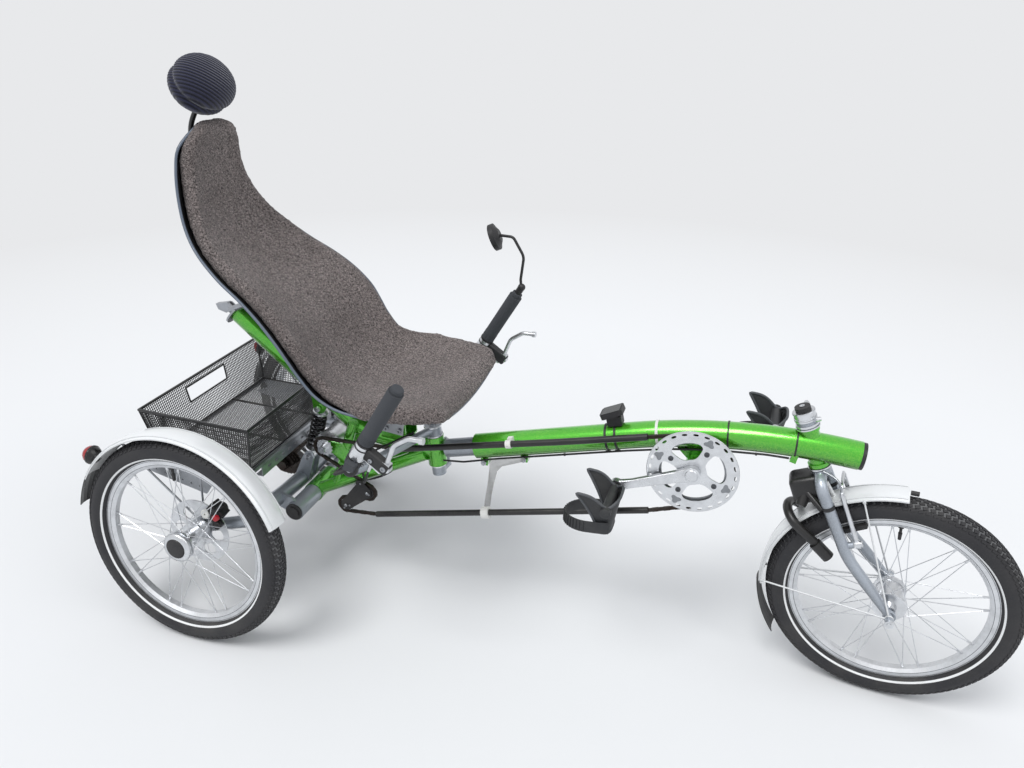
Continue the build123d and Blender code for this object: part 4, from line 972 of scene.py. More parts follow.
def make_headrest():
    low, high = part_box("headrest")
    middle = (low + high) / 2
    face = Vector((cos(radians(head_lean)), 0, sin(radians(head_lean))))
    rise = Vector((-face.z, 0, face.x))
    half_deep, half_wide, half_tall = 0.054, 0.082, 0.065
    mesh = bmesh.new()
    bmesh.ops.create_uvsphere(mesh, u_segments=56, v_segments=40, radius=1.0)
    for vert in mesh.verts:
        ahead, left, up = vert.co.z, vert.co.y, vert.co.x
        spread = (1 - abs(ahead) ** 2.5) ** 0.5 / max(hypot(left, up), 1e-6)
        vert.co = (middle + Vector((0, left * spread * half_wide, 0.004))
                   + face * ahead * half_deep + rise * up * spread * half_tall)
    bmesh.ops.remove_doubles(mesh, verts=mesh.verts, dist=1e-5)

    def seam_and_ribs(place, normal):
        ahead = (place - middle).dot(face)
        inward = middle + face * ahead - place
        groove = exp(-((ahead + 0.004) / 0.0070) ** 2) * min(1.0, inward.length / 0.03)
        rib = sin(rib_way(place) * tau / rib_pitch)
        return inward.normalized() * 0.0060 * groove + normal * 0.0005 * rib

    form = swelled("headrest_form", mesh, voxel=4.2, pressure=4.0, most=5.0)
    data = surfaced(refined(form, smoothing=2, levels=2), rib_knit, seam_and_ribs)
    made = linked("headrest_pad", data, "frame", 180.0)
    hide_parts("headrest")


def make_headrest_stem():
    """Clamp behind the shell and a bent tube up into the headrest."""
    route = [at(x, 0, z) for x, z in
             ((-117, 1052), (-116, 1090), (-112, 1124), (-98, 1152), (-80, 1178))]
    wire("headrest_stem_tube", [route], 6.0, "frame", black_paint, 16)
    mesh = bmesh.new()
    clamp = facing(at(-110.5, 0, 1079), Vector((1, 0, 0.06)))
    rounded_block(mesh, clamp, (0.052, 0.034, 0.013), 0.002, 2)
    made = piece("headrest_clamp", mesh, "frame", "black_steel")
    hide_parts("headrest_stem")


make_mat()
make_headrest()
make_headrest_stem()


# Basket: black wire mesh in a wire frame, with a framed hand hole
basket_low, basket_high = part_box("basket")
rim_wire, frame_wire, mesh_wire = 0.0034, 0.0024, 0.0011
mesh_pitch, wall_inset = 0.0062, 0.003
flare = 0.02            # the floor is this much smaller at each side


def on_basket(side, run, up):
    """A place on a wall, by its share along the wall and up it; side 4 is the floor."""
    x0, x1 = basket_low.x + wall_inset, basket_high.x - wall_inset
    y0, y1 = basket_low.y + wall_inset, basket_high.y - wall_inset
    z0, z1 = basket_low.z + 0.0015, basket_high.z - 0.0045
    if side == 4:
        return Vector((x0 + flare + (x1 - x0 - 2 * flare) * run,
                       y0 + flare + (y1 - y0 - 2 * flare) * up, z0))
    shrink = flare * (1 - up)
    z = z0 + (z1 - z0) * up
    if side in (0, 1):
        return Vector((x0 + shrink if side == 0 else x1 - shrink,
                       y0 + shrink + (y1 - y0 - 2 * shrink) * run, z))
    return Vector((x0 + shrink + (x1 - x0 - 2 * shrink) * run,
                   y0 + shrink if side == 2 else y1 - shrink, z))


# hand hole in the rear wall: shares along and up
hole_along, hole_up = (0.335, 0.665), (0.52, 0.86)


def basket_strands(mesh, side, spread, upright):
    """One wall's thin wires, spread over a length and cut at the hand hole."""
    hole, cut = (hole_along, hole_up) if upright else (hole_up, hole_along)
    count = int(spread / mesh_pitch)
    for index in range(1, count):
        share = index / count
        through = side == 0 and hole[0] < share < hole[1]
        for run in (((0.0, cut[0]), (cut[1], 1.0)) if through else ((0.0, 1.0),)):
            start, end = [on_basket(side, share, step) if upright else on_basket(side, step, share)
                          for step in run]
            rod(mesh, start, end, mesh_wire, 4, capped=False)


def make_basket():
    mesh = bmesh.new()
    size = basket_high - basket_low
    for side, length, height in ((0, size.y, size.z), (1, size.y, size.z), (2, size.x, size.z),
                                 (3, size.x, size.z), (4, size.x, size.y)):
        basket_strands(mesh, side, length, True)
        basket_strands(mesh, side, height, False)
    made = piece("basket_mesh", mesh, "frame", "black_steel")
    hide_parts("basket")
    mesh = bmesh.new()
    corners = ((0, 0.0), (0, 1.0), (1, 1.0), (1, 0.0))
    for corner, following in zip(corners, corners[1:] + corners[:1]):
        top, next_top = on_basket(*corner, 1.0), on_basket(*following, 1.0)
        foot, next_foot = on_basket(*corner, 0.0), on_basket(*following, 0.0)
        rod(mesh, top, next_top, rim_wire, 12)
        rod(mesh, foot, next_foot, frame_wire, 8)
        rod(mesh, foot, top, frame_wire, 8)
        bmesh.ops.create_icosphere(mesh, subdivisions=2, radius=rim_wire,
                                   matrix=Matrix.Translation(top))
    frame_corners = [(hole_along[a], hole_up[b]) for a, b in ((0, 0), (1, 0), (1, 1), (0, 1))]
    for start, end in zip(frame_corners, frame_corners[1:] + frame_corners[:1]):
        rod(mesh, on_basket(0, *start), on_basket(0, *end), frame_wire, 8)
    for share in (1 / 3, 2 / 3):
        rod(mesh, on_basket(4, 0, share), on_basket(4, 1, share), frame_wire, 8)
    piece("basket_frame", mesh, "frame", "black_steel")


make_basket()


# Chainring: guard disc on four arms with openings, grey recesses and slots, and its toothed ring
arm_angles = [63 + 90 * arm for arm in range(4)]
bolt_ring = 54.0
disc_out, recess_out, teeth_out, edge_out = 59.2, 59.6, 53.0, 60.2     # out along the axle


def flat_ring(mesh, place, loops, thick, finish=0):
    """A plate between its outline and the holes in it.

    Loops hold (radius, angle) in millimetres and degrees.
    """
    known, known_faces = set(mesh.verts), set(mesh.faces)
    edges = []
    for loop in loops:
        points = [mesh.verts.new((radius * mm * cos(radians(angle)),
                                  radius * mm * sin(radians(angle)), 0)) for radius, angle in loop]
        edges += [mesh.edges.new(pair) for pair in zip(points, points[1:] + points[:1])]
    filled = bmesh.ops.triangle_fill(mesh, use_beauty=True, edges=edges)["geom"]
    faces = [item for item in filled if isinstance(item, bmesh.types.BMFace)]
    bmesh.ops.recalc_face_normals(mesh, faces=faces)
    bmesh.ops.solidify(mesh, geom=faces, thickness=thick * mm)
    fresh = [vert for vert in mesh.verts if vert not in known]
    lowest = min(vert.co.z for vert in fresh)
    bmesh.ops.translate(mesh, verts=fresh, vec=(0, 0, -lowest))
    bmesh.ops.transform(mesh, matrix=place, verts=fresh)
    painted(mesh, known_faces, finish)


def angle_to_arm(angle):
    """The angle of the nearest arm."""
    return min((arm + turns for arm in arm_angles for turns in (-360, 0, 360)),
               key=lambda arm: abs(arm - angle))


def rounded(value, power):
    return (1 if value > 0 else -1) * abs(value) ** power


def opening(middle_angle):
    """Between two arms, wider outwards."""
    loop = []
    for step in range(36):
        turn_by = tau * step / 36
        radius = 50.5 + 20.5 * rounded(cos(turn_by), 0.62)
        spread = 28.5 + 6.5 * (radius - 31.5) / 38
        loop.append((radius, middle_angle + spread * rounded(sin(turn_by), 0.62)))
    return loop


def slot(middle_angle):
    return [(89.4 + 2.7 * sin(tau * step / 12),
             middle_angle + 3.7 * rounded(cos(tau * step / 12), 0.6)) for step in range(12)]


def recess(middle_angle):
    """Spade shape, its point inwards."""
    loop = []
    for step in range(24):
        turn_by = tau * step / 24
        reach = 8.6 + 2.2 * cos(3 * turn_by)
        across, out = reach * 1.15 * sin(turn_by), 78.0 + reach * cos(turn_by)
        loop.append((hypot(across, out), middle_angle + across / out / radians(1)))
    return loop


def make_crank_parts():
    middle = joint_at["crank_turn"]
    right = Vector((0, -1, 0))

    def turned_at(out):
        """Local X forward, local Y up, out along the axle to the right."""
        place = Matrix.Translation(middle + right * out * mm)
        return place @ Matrix(((1, 0, 0, 0), (0, 0, -1, 0), (0, 1, 0, 0), (0, 0, 0, 1)))

    ring = bmesh.new()
    outline = [(96.0, 3 * step) for step in range(120)]
    bore = [(18.3, 12 * step) for step in range(30)]
    openings = [opening(angle + 45) for angle in arm_angles]
    slots = [slot(15 * step + 2) for step in range(24)]
    recesses = [recess(angle + 7) for angle in arm_angles]
    flat_ring(ring, turned_at(disc_out), [outline, bore] + openings + slots + recesses, 2.0)
    for loop in recesses:
        flat_ring(ring, turned_at(recess_out), [loop], 0.8, finish=1)
    teeth = [(80.8 if step % 4 in (1, 2) else 78.6, 360 / 168 * step) for step in range(168)]
    inner = [(66.0 - 15.0 * exp(-((((4 * step - angle_to_arm(4 * step)) / 9.0)) ** 2)), 4 * step)
             for step in range(90)]
    flat_ring(ring, turned_at(teeth_out), [teeth, inner], 2.0, finish=1)
    # raised edge and bolts through both rings
    spun(ring, ((96.0, -1.2), (97.2, -0.6), (97.6, 0.2), (97.2, 1.0), (96.0, 1.6), (94.4, 1.0),
                (94.4, -0.6)), turned_at(edge_out), 96, closed=True)
    for angle in arm_angles:
        reach = Vector((cos(radians(angle)), 0, sin(radians(angle)))) * bolt_ring * mm
        spot = middle + reach + right * 0.0612      # on the disc's outer face
        known = set(ring.faces)
        bolt(ring, spot, right, 5.8, 1.8)
        painted(ring, known, 2)
        rod(ring, middle + reach + right * 0.053, middle + reach + right * 0.0602, 0.0062, 20)
    made = piece("chainring_disc", ring, "cranks", "bare_alloy", alloy, recess_grey, bolt_grey)
    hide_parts("chainring")
    mesh = bmesh.new()
    for out in (-1, 1):
        for reach, rows in (
                (0.0758, ((0, 3.4), (9.0, 3.2), (12.4, 2.2), (13.6, 0.6), (13.6, -1.0))),
                (0.0752, ((14.2, 0.0), (14.8, 1.2), (17.2, 1.2), (18.0, 0.0), (17.4, -2.0)))):
            spun(mesh, rows, facing(middle + Vector((0, out * reach, 0)), Vector((0, out, 0))), 40)
    piece("crank_caps", mesh, "cranks", "bare_alloy")


make_crank_parts()


# Pedals: flared cup with two wings, a ribbed strap round the heel and the axle's tube
pedal_low, pedal_high, strap_low, strap_high = -64.0, 20.0, -66.0, -40.0


def cup_place(middle, across, up):
    """A place on the cup's wall: across from -1 to 1 round it, up from 0 to 1."""
    turn_by = across * pi / 2
    sideways = (1 if turn_by > 0 else -1) * abs(sin(turn_by)) ** 0.55
    dip = 15.0 * exp(-((abs(turn_by) - 0.95) / 0.36) ** 2)
    top = pedal_high + 15.0 * abs(sin(turn_by)) ** 8 - dip
    height = pedal_low + (top - pedal_low) * up
    rear = -16 - 50 * up ** 1.5
    front = 9 + 14 * up
    half = 34 + 12 * up ** 0.8 + 5 * up ** 3
    ahead = rear + (front - rear) * abs(cos(turn_by)) ** 0.55
    return middle + Vector((ahead, half * sideways, height)) * mm


def make_pedal(side, way):
    body = f"pedal_{side}"
    axle = joint_at[f"pedal_{side}_turn"]
    middle = Vector((axle.x, way * 0.139, axle.z))
    mesh = bmesh.new()
    bmesh.ops.create_grid(mesh, x_segments=56, y_segments=18, size=1.0)
    for vert in mesh.verts:
        vert.co = cup_place(middle, vert.co.x, (vert.co.y + 1) / 2)
    bmesh.ops.solidify(mesh, geom=mesh.faces, thickness=0.0036)
    made = piece(f"pedal_cup_{side}", mesh, body, "black_plastic", pedal_black, sharp=50.0)
    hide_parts(f"pedal_{side}")
    rim = ([cup_place(middle, -1 + 2 * step / 40, 1.0) for step in range(41)]
           + [cup_place(middle, 1.0, 1 - step / 8) for step in range(1, 9)]
           + [cup_place(middle, 1 - 2 * step / 24, 0.0) for step in range(1, 24)]
           + [cup_place(middle, -1.0, step / 8) for step in range(0, 8)])
    wire(f"pedal_rim_{side}", [rim], 3.0, body, pedal_edge, 12, closed=True)
    mesh = bmesh.new()
    # ribs inside the cup and slots low on its sides
    for across in (-0.34, -0.17, 0.0, 0.17, 0.34):
        route = [cup_place(middle, across, 0.08 + 0.8 * step / 8) for step in range(9)]
        for start, end in zip(route, route[1:]):
            shift = Vector((-0.0042, 0, 0))
            rod(mesh, start + shift, end + shift, 0.0014, 8)
    for out_way in (-1, 1):
        for step in range(4):
            spot = cup_place(middle, 0.80 * out_way, 0.10 + 0.055 * step)
            out = Vector((0, out_way, 0))
            block(mesh, facing(spot + out * 0.0018, out), (0.013, 0.0026, 0.0022))
    # ribbed strap
    angles = [-pi / 2 + pi * step / 44 for step in range(45)]
    outline = ([(8, -40), (-16, -43)] + [(-38 - 56 * cos(a), 43 * sin(a)) for a in angles]
               + [(-16, 43), (8, 40)])
    loop = [Vector((x, y, 0)) * mm for x, y in outline]
    rows = []
    for index, place in enumerate(loop):
        ahead = loop[min(index + 1, len(loop) - 1)] - loop[max(index - 1, 0)]
        out = Vector((ahead.y, -ahead.x, 0)).normalized()
        if (place - Vector((-20 * mm, 0, 0))).dot(out) < 0:
            out = -out
        slope = 9.0 * (place.x / mm + 94) / 100
        section = ((0, strap_low), (2.6, strap_low - 1), (3.6, strap_low + 4),
                   (3.6, strap_high - 4), (2.6, strap_high + 1), (0, strap_high))
        rows.append([mesh.verts.new(middle + place + out * depth * mm
                                    + Vector((0, 0, (height + slope) * mm)))
                     for depth, height in section])
        if 3 < index < len(loop) - 4 and index % 2 == 0:
            up = Vector((0, 0, ((strap_low + strap_high) / 2 + slope) * mm))
            block(mesh, facing(middle + place + out * 4.0 * mm + up, out), (0.0024, 0.024, 0.0030))
    for first, second in zip(rows, rows[1:]):
        for corner in range(6):
            mesh.faces.new((first[corner], first[(corner + 1) % 6],
                            second[(corner + 1) % 6], second[corner]))
    mesh.faces.new(rows[0])
    mesh.faces.new(rows[-1])
    piece(f"pedal_strap_{side}", mesh, body, "black_plastic", pedal_black)
    mesh = bmesh.new()
    spun(mesh, ((6.4, -51), (9.4, -51), (11, -49), (11, 49), (9.4, 51), (6.4, 51)),
         facing(middle, Vector((0, 1, 0))), 28, closed=True)
    spun(mesh, ((0, 60.0), (8.0, 59.6), (11.4, 57.0), (11.4, 50.6), (10.2, 50.6)),
         facing(middle, Vector((0, way, 0))), 28)
    piece(f"pedal_tube_{side}", mesh, body, "black_plastic", pedal_black)


for side, way in (("right", -1), ("left", 1)):
    make_pedal(side, way)


# Boom: bands round it, clips on the hoses, clear hanger, display's screen and bolts
boom_radius, hose_radius, hose_y = 30.0, 7.6, -54


def boom_place(x):
    """The boom's middle line at a distance forward, and its heading."""
    if x < 950:
        return at(x, 0, 438 + (x - 582) * 0.28043), Vector((0.9629, 0, 0.27))
    rise = sqrt(1300.0 ** 2 - (x - 1300.9) ** 2)
    return at(x, 0, -710.5 + rise), Vector((rise, 0, 1300.9 - x)).normalized()


def paired(mesh, rows):
    """Screws or nuts on both sides of the machine.

    Rows hold the maker, its radius and height, how far out, and places as (x, z).
    """
    for make, radius, height, out, places in rows:
        for x, z in places:
            for way in (-1, 1):
                make(mesh, at(x, out * way, z), Vector((0, way, 0)), radius, height)


def make_boom_parts():
    mesh = bmesh.new()
    for x, wide in ((893, 5.0), (914, 5.0), (1149, 3.6), (1285, 3.6)):
        place, way = boom_place(x)
        band(mesh, place, way, boom_radius, 1.2, wide, 48)
        if x < 1000:
            block(mesh, facing(place - Vector((0, 0, 0.033)), way), (0.010, 0.008, 0.006))
    piece("boom_bands", mesh, "frame", "black_plastic")
    mesh = bmesh.new()
    place, way = boom_place(1003)
    band(mesh, place, way, boom_radius, 1.0, 6.0, 48)
    # sleeve of the hanger's clip and a clip on the upper hose
    hose = Vector((671, 0, 172)).normalized()
    clip = at(334, hose_y, 218) + hose * 0.300
    band(mesh, clip, hose, hose_radius, 6.9, 17.6, 32)
    upper = Vector((397, 0, 100)).normalized()
    spot = at(677, hose_y, 491)
    band(mesh, spot, upper, hose_radius, 2.2, 13, 28)
    block(mesh, facing(spot + Vector((0, 0.014, 0.004)), upper), (0.012, 0.013, 0.012))
    bolt(mesh, spot + Vector((0, -0.0096, 0)), Vector((0, -1, 0)), 3.2, 2.4)
    piece("hose_clips", mesh, "frame", "black_plastic", white_plastic)
    # clear hanger: arm along the boom and a narrow strip down to the hose
    mesh = bmesh.new()
    corners = [mesh.verts.new(at(x, -38.5, z)) for x, z in (
        (626, 430), (711, 454), (706, 441), (657, 419), (646, 404), (638, 366), (633, 334),
        (630, 300), (614, 291), (618, 330), (623, 369), (626, 406))]
    bmesh.ops.solidify(mesh, geom=[mesh.faces.new(corners)], thickness=0.003)
    made = piece("hose_hanger", mesh, "frame", "clear_plastic")
    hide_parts("chain_hanger")
    mesh = bmesh.new()
    tilt = Vector((-0.5, 0, 1)).normalized()
    top = facing(at(900, 0, 584) + tilt * 0.012, tilt)
    block(mesh, top @ Matrix.Translation((0, 0, 0.0004)), (0.038, 0.044, 0.0012))
    piece("display_screen", mesh, "frame", "black_plastic", screen_grey)
    # handlebar carrier's nuts, the seat stand's bolts and the swing frame's nuts and bolts
    mesh = bmesh.new()
    paired(mesh, (
        (nut, 7.0, 4.6, 17.6, ((605, 407), (703, 436))),
        (bolt, 6.0, 5.0, 36.2, ((362, 462), (396, 461))),
        (bolt, 5.0, 4.0, 36.2, ((360, 512), (394, 514))),
        (nut, 9.8, 6.0, 66, ((199, 385),)),
        (bolt, 6.4, 4.2, 25, ((128, 324), (168, 470))),
    ))
    piece("frame_bolts", mesh, "frame", "bright_steel")
    mesh = bmesh.new()
    right = Vector((0, -1, 0))
    for x, z in ((251, 230), (313, 279)):
        spun(mesh, ((0, 2.0), (3.4, 1.8), (4.4, 0.6), (4.4, -1)),
             facing(at(x, -62.4, z), right), 16)
        for tooth in range(11):
            angle = tau * tooth / 11
            way = Vector((cos(angle), 0, sin(angle)))
            place = at(x + 16.4 * cos(angle), hose_y, z + 16.4 * sin(angle))
            block(mesh, facing(place, way), (0.0036, 0.0024, 0.0040))
    for x, z in ((282, 300), (296, 304), (318, 276), (247, 222), (262, 232)):
        bolt(mesh, at(x, -61.4, z), right, 2.4, 1.6)
    piece("tensioner_bolts", mesh, "frame", "bright_steel")


make_boom_parts()


# Rear: lamp domes, brake fittings, bolts of the rails and the mudguards' stays
def make_rear_parts():
    lamps, brakes, white_discs, knobs, bolts = (bmesh.new() for each in range(5))
    for way, wheel in ((-1, wheel_right), (1, wheel_left)):
        out = axle_way(wheel)
        back = (at(-246, 0, 429) - at(-233, 0, 427)).normalized()
        # black ball in front, red lens behind, on a short foot
        spun(lamps, ((0, -21), (8, -19.6), (14.4, -15.4), (19.2, -9.2), (21.4, -2.6), (22.4, -2.2),
                     (22.4, 2.2), (21.4, 2.6), (19.0, 10.0), (14.0, 16.2), (7.4, 20.0), (0, 21.4)),
             facing(at(-236, 339 * way, 430), back), 40,
             finish_of=lambda radius, ahead: int(ahead > 1.8))
        rod(lamps, at(-238, 341 * way, 406.5), at(-238, 339 * way, 414), 0.006)
        # brake's body, its hinge and arm, a white disc and a red knob
        body, hinge = on_wheel(wheel, 50.7, 79, -36), on_wheel(wheel, 31, 71, -35)
        disc, knob = on_wheel(wheel, 61, 70, -31.5), on_wheel(wheel, 43, 84, -31.5)
        spun(brakes, ((0, 3), (11, 3), (16, 0.5), (17, -3), (17, -8), (0, -8)),
             facing(body, out), 28)
        spun(brakes, ((0, 4), (8, 4), (10.4, 2), (10.4, -9), (0, -9)), facing(hinge, out), 24)
        rod(brakes, body, hinge, 0.007, 14)
        rod(brakes, body - out * 0.004, on_wheel(wheel, 50, 118, -42), 0.006, 12, 0.004)
        spun(white_discs, ((2.4, 1.6), (9.6, 1.6), (11.0, 0.6), (11.0, -5), (2.4, -5)),
             facing(disc, out), 28, closed=True)
        spun(knobs, ((0, 4.6), (4, 4.4), (7.4, 2.6), (8.0, 0), (8.0, -5), (0, -5)),
             facing(knob, out), 20)
        for angle in (84, 132):
            bolt(bolts, on_wheel(wheel, angle, 262, -33.8), -out, 3.4, 3)
    paired(bolts, (
        (bolt, 5.4, 3.4, 233.8, ((90, 376), (-166, 378))),
        (bolt, 3.6, 2.6, 233.8, ((-60, 379), (40, 379))),
    ))
    made = piece("lamp_domes", lamps, "frame", "lamp_red", glossy_black, lamp_red)
    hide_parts("rear_lamps")
    piece("brake_covers", brakes, "frame", "black_plastic")
    piece("brake_discs_white", white_discs, "frame", "black_plastic", white_plastic)
    piece("brake_knobs", knobs, "frame", "black_plastic", knob_red)
    piece("rear_bolts", bolts, "frame", "bright_steel")


make_rear_parts()


# Fork: thick ring lock with its housing, headset rings, brake fittings and axle nuts
lock_angle = 144        # degrees up from forward, round the front wheel


def make_fork_parts():
    across = axle_way(wheel_front)
    leg, bend_r, reach = 43.0, 256.0, 176.0
    straight = [(bend_r - reach) * step / 5 for step in range(6)]
    turns = [pi * step / 12 for step in range(1, 12)]
    outline = ([(reach + step, leg) for step in straight]
               + [(bend_r + leg * sin(angle), leg * cos(angle)) for angle in turns]
               + [(bend_r - step, -leg) for step in straight])
    route = [on_wheel(wheel_front, lock_angle, radius, out) for radius, out in outline]
    made = wire("lock_ring", [route], 10.0, "fork", lock_black, 24)
    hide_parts("wheel_lock")
    mesh = bmesh.new()
    low, high = on_wheel(wheel_front, 145, 172, 45), on_wheel(wheel_front, lock_angle, 214, 45)
    rod(mesh, low, high, 0.0132, 24)
    # housing over the mudguard, with its arm to the fork
    core = steered @ at(1322, 0, 492)
    lean = facing(core, steered_way @ Vector((-0.40, 0, 0.92)))
    rounded_block(mesh, lean, (0.058, 0.062, 0.062), 0.013, 5)
    for side in (-1, 1):
        joined = on_wheel(wheel_front, 137, 296, side * 34)
        rod(mesh, core + across * 0.018 * side - Vector((0, 0, 0.014)), joined, 0.014, 20, 0.0105)
        rod(mesh, core + across * 0.020 * side, steered @ at(1362, -47 * side, 470), 0.007, 14)
    piece("lock_housing", mesh, "fork", "black_plastic", lock_black)
    mesh = bmesh.new()
    key = on_wheel(wheel_front, lock_angle, 171.4, 45)
    spun(mesh, ((0, 1.6), (7.4, 1.4), (8.6, 0.2), (8.6, -1)),
         facing(key, (key - on_wheel(wheel_front, lock_angle, 214, 45))), 20)
    down = -joint_axis["fork_steer"]
    if down.z > 0:
        down = -down
    head = joint_at["fork_steer"]
    # headset's rings: place down the axis, inner radius, thickness, width
    for drop, inner, thick, width in ((-47.4, 19.2, 5.6, 3.0), (-52.6, 20.6, 2.6, 4.6),
                                      (-64.6, 20.8, 2.2, 3.0), (-68.4, 21.6, 1.8, 2.2),
                                      (-81.0, 21.6, 1.6, 3.0), (46.8, 18.6, 5.2, 3.2)):
        band(mesh, head + down * drop * mm, down, inner, thick, width, 40)
    bolt(mesh, head - down * 0.0928, -down, 5.4, 2.0)
    for side in (-1, 1):
        nut(mesh, steered @ at(1535, side * 84, 257.9), across * -side, 10.4, 6.5)
        for x, y, z, slope, radius, height in ((1447, 46, 409, 0.4, 7.0, 5.0),
                                               (1391, 39, 514, 0.35, 5.4, 4.0)):
            bolt(mesh, steered @ at(x, side * y, z), steered_way @ Vector((0.9, 0, slope)),
                 radius, height)
    lug = head - down * 0.075
    rod(mesh, lug + Vector((0.020, -0.020, 0)), lug + Vector((0.030, -0.012, 0)), 0.005, 12)
    piece("fork_fittings", mesh, "fork", "bare_alloy")
    for name, radius, sides, places in (
            ("brake_noodle", 2.6, 12, ((1391, -39, 516), (1386, -40, 530), (1380, -36, 540),
                                       (1366, -28, 545), (1348, -24, 548))),
            ("brake_cable", 0.9, 8, ((1391, -38, 520), (1392, 0, 523), (1391, 38, 520)))):
        route = [steered @ at(*place) for place in places]
        wire(name, [route], radius, "fork", steel, sides)


make_fork_parts()


# Handlebar: sleeves, lever bodies in black, clamp bolts, mirror's glass
bar_half, bar_radius = 300, 11.4


def on_bar(side, up):
    """A place on the bar's upright, by its distance up from the lower corner."""
    low, high = at(418, bar_half * side, 490), at(551, bar_half * side, 716)
    return turned @ (low + (high - low).normalized() * up * mm)


def make_bar_parts():
    silver_parts, dark_parts, bolts, foam = (bmesh.new() for each in range(4))
    for side in (-1, 1):
        way = (on_bar(side, 100) - on_bar(side, 0)).normalized()
        sleeve = ((bar_radius, 66), (18.6, 66), (19.2, 69), (18.2, 84), (16.4, 100),
                  (16.0, 106), (bar_radius, 106))
        spun(silver_parts, sleeve, facing(on_bar(side, 0), way), 36, closed=True)
        band(dark_parts, on_bar(side, 109), way, bar_radius, 6.6, 5.0, 36)
        band(dark_parts, on_bar(side, 96), way, 16.6, 1.2, 2.6, 36)
        # ribs on the grip's lower end
        for up in range(116, 134, 4):
            band(foam, on_bar(side, up), way, 16.9, 0.6, 2.0, 32)
        # lever's body over its plate, reservoir and clamp
        place = turned @ Matrix.Translation(at(500, bar_half * side, 547))
        rounded_block(dark_parts, place @ Matrix.Rotation(radians(32), 4, "Y"),
                      (0.062, 0.021, 0.030), 0.006, 4)
        band(dark_parts, on_bar(side, 58), way, bar_radius, 7.4, 12, 32)
        for x, z, radius, height in ((490, 551, 5.0, 3.4), (519, 538, 6.0, 3.0)):
            seat = turned @ at(x, (bar_half + 10.6) * side, z)
            bolt(bolts, seat, Vector((0, side, 0)), radius, height)
        for lift in (-4.2, 4.2):
            seat = on_bar(side, 58 + lift) + turned_way @ Vector((0.016, 0, -0.010))
            bolt(bolts, seat, Vector((0.86, 0, -0.5)), 3.4, 4.6)
        # cable's adjuster
        adjust = turned @ at(484, bar_half * side, 535)
        toward = (turned @ at(470, 298 * side, 500) - adjust).normalized()
        rod(silver_parts, adjust, adjust + toward * 0.020, 0.0050, 14, 0.0036)
        spun(foam, ((0, 1.4), (11.0, 1.2), (13.2, -0.6), (13.2, -8.0), (11.2, -8.0)),
             facing(on_bar(side, 272), way), 32)
    # shifter: drum, thumb paddle and clamp
    way = (on_bar(-1, 100) - on_bar(-1, 0)).normalized()
    drum = on_bar(-1, 44) + turned_way @ Vector((0.006, -0.020, -0.004))
    drum_place = facing(drum, Vector((0.1, -1, 0.2)))
    paddle = turned_way @ Vector((-0.030, -0.012, -0.012))
    spun(dark_parts, ((0, 7), (13, 7), (16, 4), (16, -6), (13, -8), (0, -8)), drum_place, 28)
    rod(dark_parts, drum, drum + paddle, 0.0055, 14, 0.0042)
    spun(bolts, ((0, 8.6), (4.6, 8.4), (5.4, 7.4), (5.4, 6)), drum_place, 18)
    piece("bar_sleeves", silver_parts, "handlebar", "bare_alloy")
    piece("lever_bodies", dark_parts, "handlebar", "black_plastic")
    piece("bar_bolts", bolts, "handlebar", "bright_steel")
    piece("grip_rings", foam, "handlebar", "grip_rubber")
    mesh = bmesh.new()
    look = Vector((-0.88, -0.25, -0.40)).normalized()
    mirror = facing(turned @ at(492, bar_half, 862), turned_way @ look)
    spun(mesh, ((0, 8.6), (30.0, 8.4), (30.4, 8.1)), mirror, 48)
    piece("mirror_face", mesh, "handlebar", "black_plastic", mirror_glass)
    mesh = bmesh.new()
    spun(mesh, ((31.0, 7.4), (32.4, 9.0), (33.6, 8.2), (33.8, -3.6), (31.0, -5.0)), mirror, 48)
    bmesh.ops.create_uvsphere(mesh, u_segments=20, v_segments=12, radius=0.0098,
                              matrix=Matrix.Translation(on_bar(1, 292)))
    piece("mirror_rim", mesh, "handlebar", "black_plastic")
    # pivot's rings and its bolt
    mesh = bmesh.new()
    axis = joint_axis["handlebar_steer"]
    pivot = joint_at["handlebar_steer"]
    for up in (48.6, 72.4):
        band(mesh, pivot + axis * up * mm, axis, 19.8, 2.0, 3.4, 36)
    bolt(mesh, pivot + axis * 0.074, axis, 8.0, 4.0)
    band(mesh, pivot - axis * 0.0345, axis, 16.8, 1.6, 3.0, 36)
    piece("bar_pivot_rings", mesh, "handlebar", "bare_alloy")


make_bar_parts()


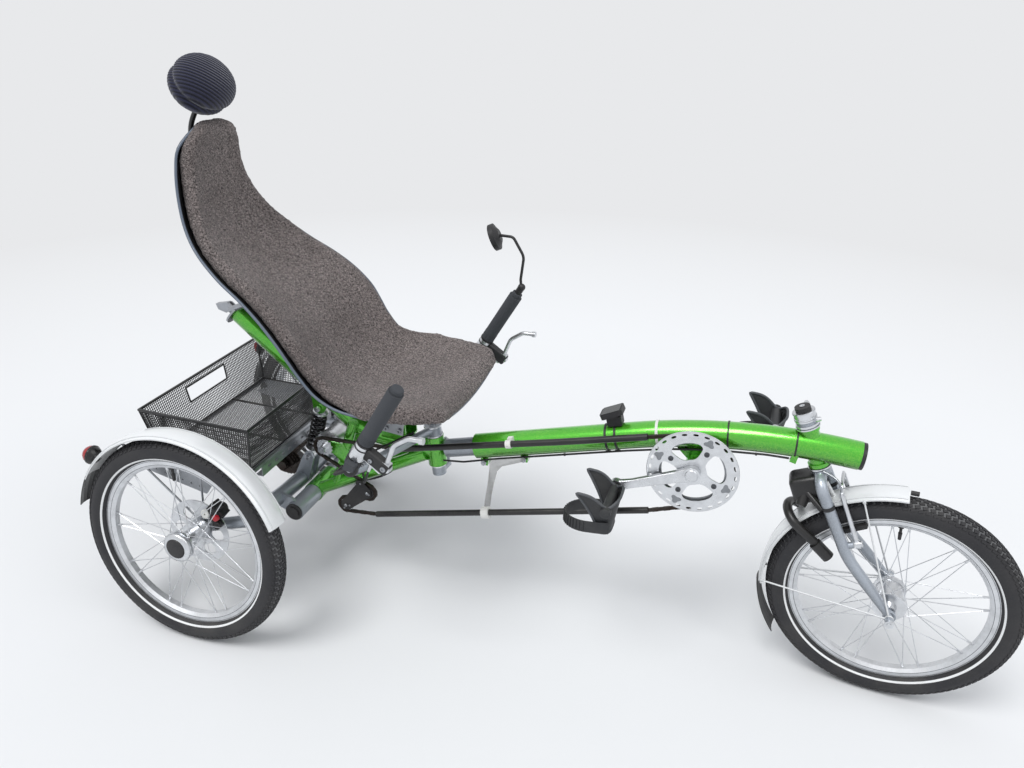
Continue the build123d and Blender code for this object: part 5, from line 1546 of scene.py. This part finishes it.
# Ties that hold the cables to the boom
def make_ties():
    mesh = bmesh.new()
    for x in (700, 800, 1066, 1210):
        place, way = boom_place(x)
        for y in (-19, 19):
            band(mesh, at(x, y, (place.z / mm) - 29.0), way, 2.4, 0.9, 4.0, 16)
    piece("cable_ties", mesh, "frame", "black_plastic")


make_ties()


# Floor, world and lamps
def make_floor():
    """Pale floor that turns into the plain background well away from the machine."""
    mesh = bmesh.new()
    bmesh.ops.create_grid(mesh, x_segments=1, y_segments=1, size=60)
    floor = put("floor", mesh_data("floor", mesh))
    material, tree, principled = new_material(
        "pale_floor", Roughness=0.9, Base_Color=paint(226, 227, 228), Specular_IOR_Level=0.1)
    length = node(tree, "VectorMath", {0: object_place(tree)}, operation="LENGTH")
    far = remap(tree, length.outputs["Value"], 1.9, 4.2)
    share = maths(tree, "MULTIPLY", far, node(tree, "LightPath").outputs["Is Camera Ray"])
    glow = node(tree, "Emission", {"Color": background, "Strength": 1.0})
    mix = node(tree, "MixShader", {0: share, 1: principled.outputs[0], 2: glow.outputs[0]})
    tree.links.new(mix.outputs[0], tree.nodes["Material Output"].inputs["Surface"])
    floor.data.materials.append(material)


def make_world():
    world = bpy.data.worlds.new("studio")
    scene.world = world
    world.use_nodes = True
    tree = world.node_tree
    tree.nodes.clear()
    light = node(tree, "Background", {"Color": paint(240, 243, 248), "Strength": 0.72})
    seen = node(tree, "Background", {"Color": background, "Strength": 1.0})
    rays = node(tree, "LightPath").outputs
    either = maths(tree, "ADD", rays["Is Camera Ray"], rays["Is Glossy Ray"])
    any_of = maths(tree, "ADD", either, rays["Is Transmission Ray"], clamp=True)
    mix = node(tree, "MixShader", {0: any_of, 1: light.outputs[0], 2: seen.outputs[0]})
    node(tree, "OutputWorld", {0: mix.outputs[0]})


def make_sun(name, direction, power, softness):
    data = bpy.data.lights.new(name, "SUN")
    data.energy = power
    data.angle = radians(softness)
    lamp = put(name, data)
    lamp.matrix_world = Vector(direction).to_track_quat("-Z", "Y").to_matrix().to_4x4()


background = paint(232, 233, 235)
make_floor()
make_world()
make_sun("key_sun", (0.35, 0.75, -1.5), 1.7, 28)
make_sun("fill_sun", (-0.9, 0.25, -1.1), 0.45, 40)

scene.view_settings.view_transform = "Standard"
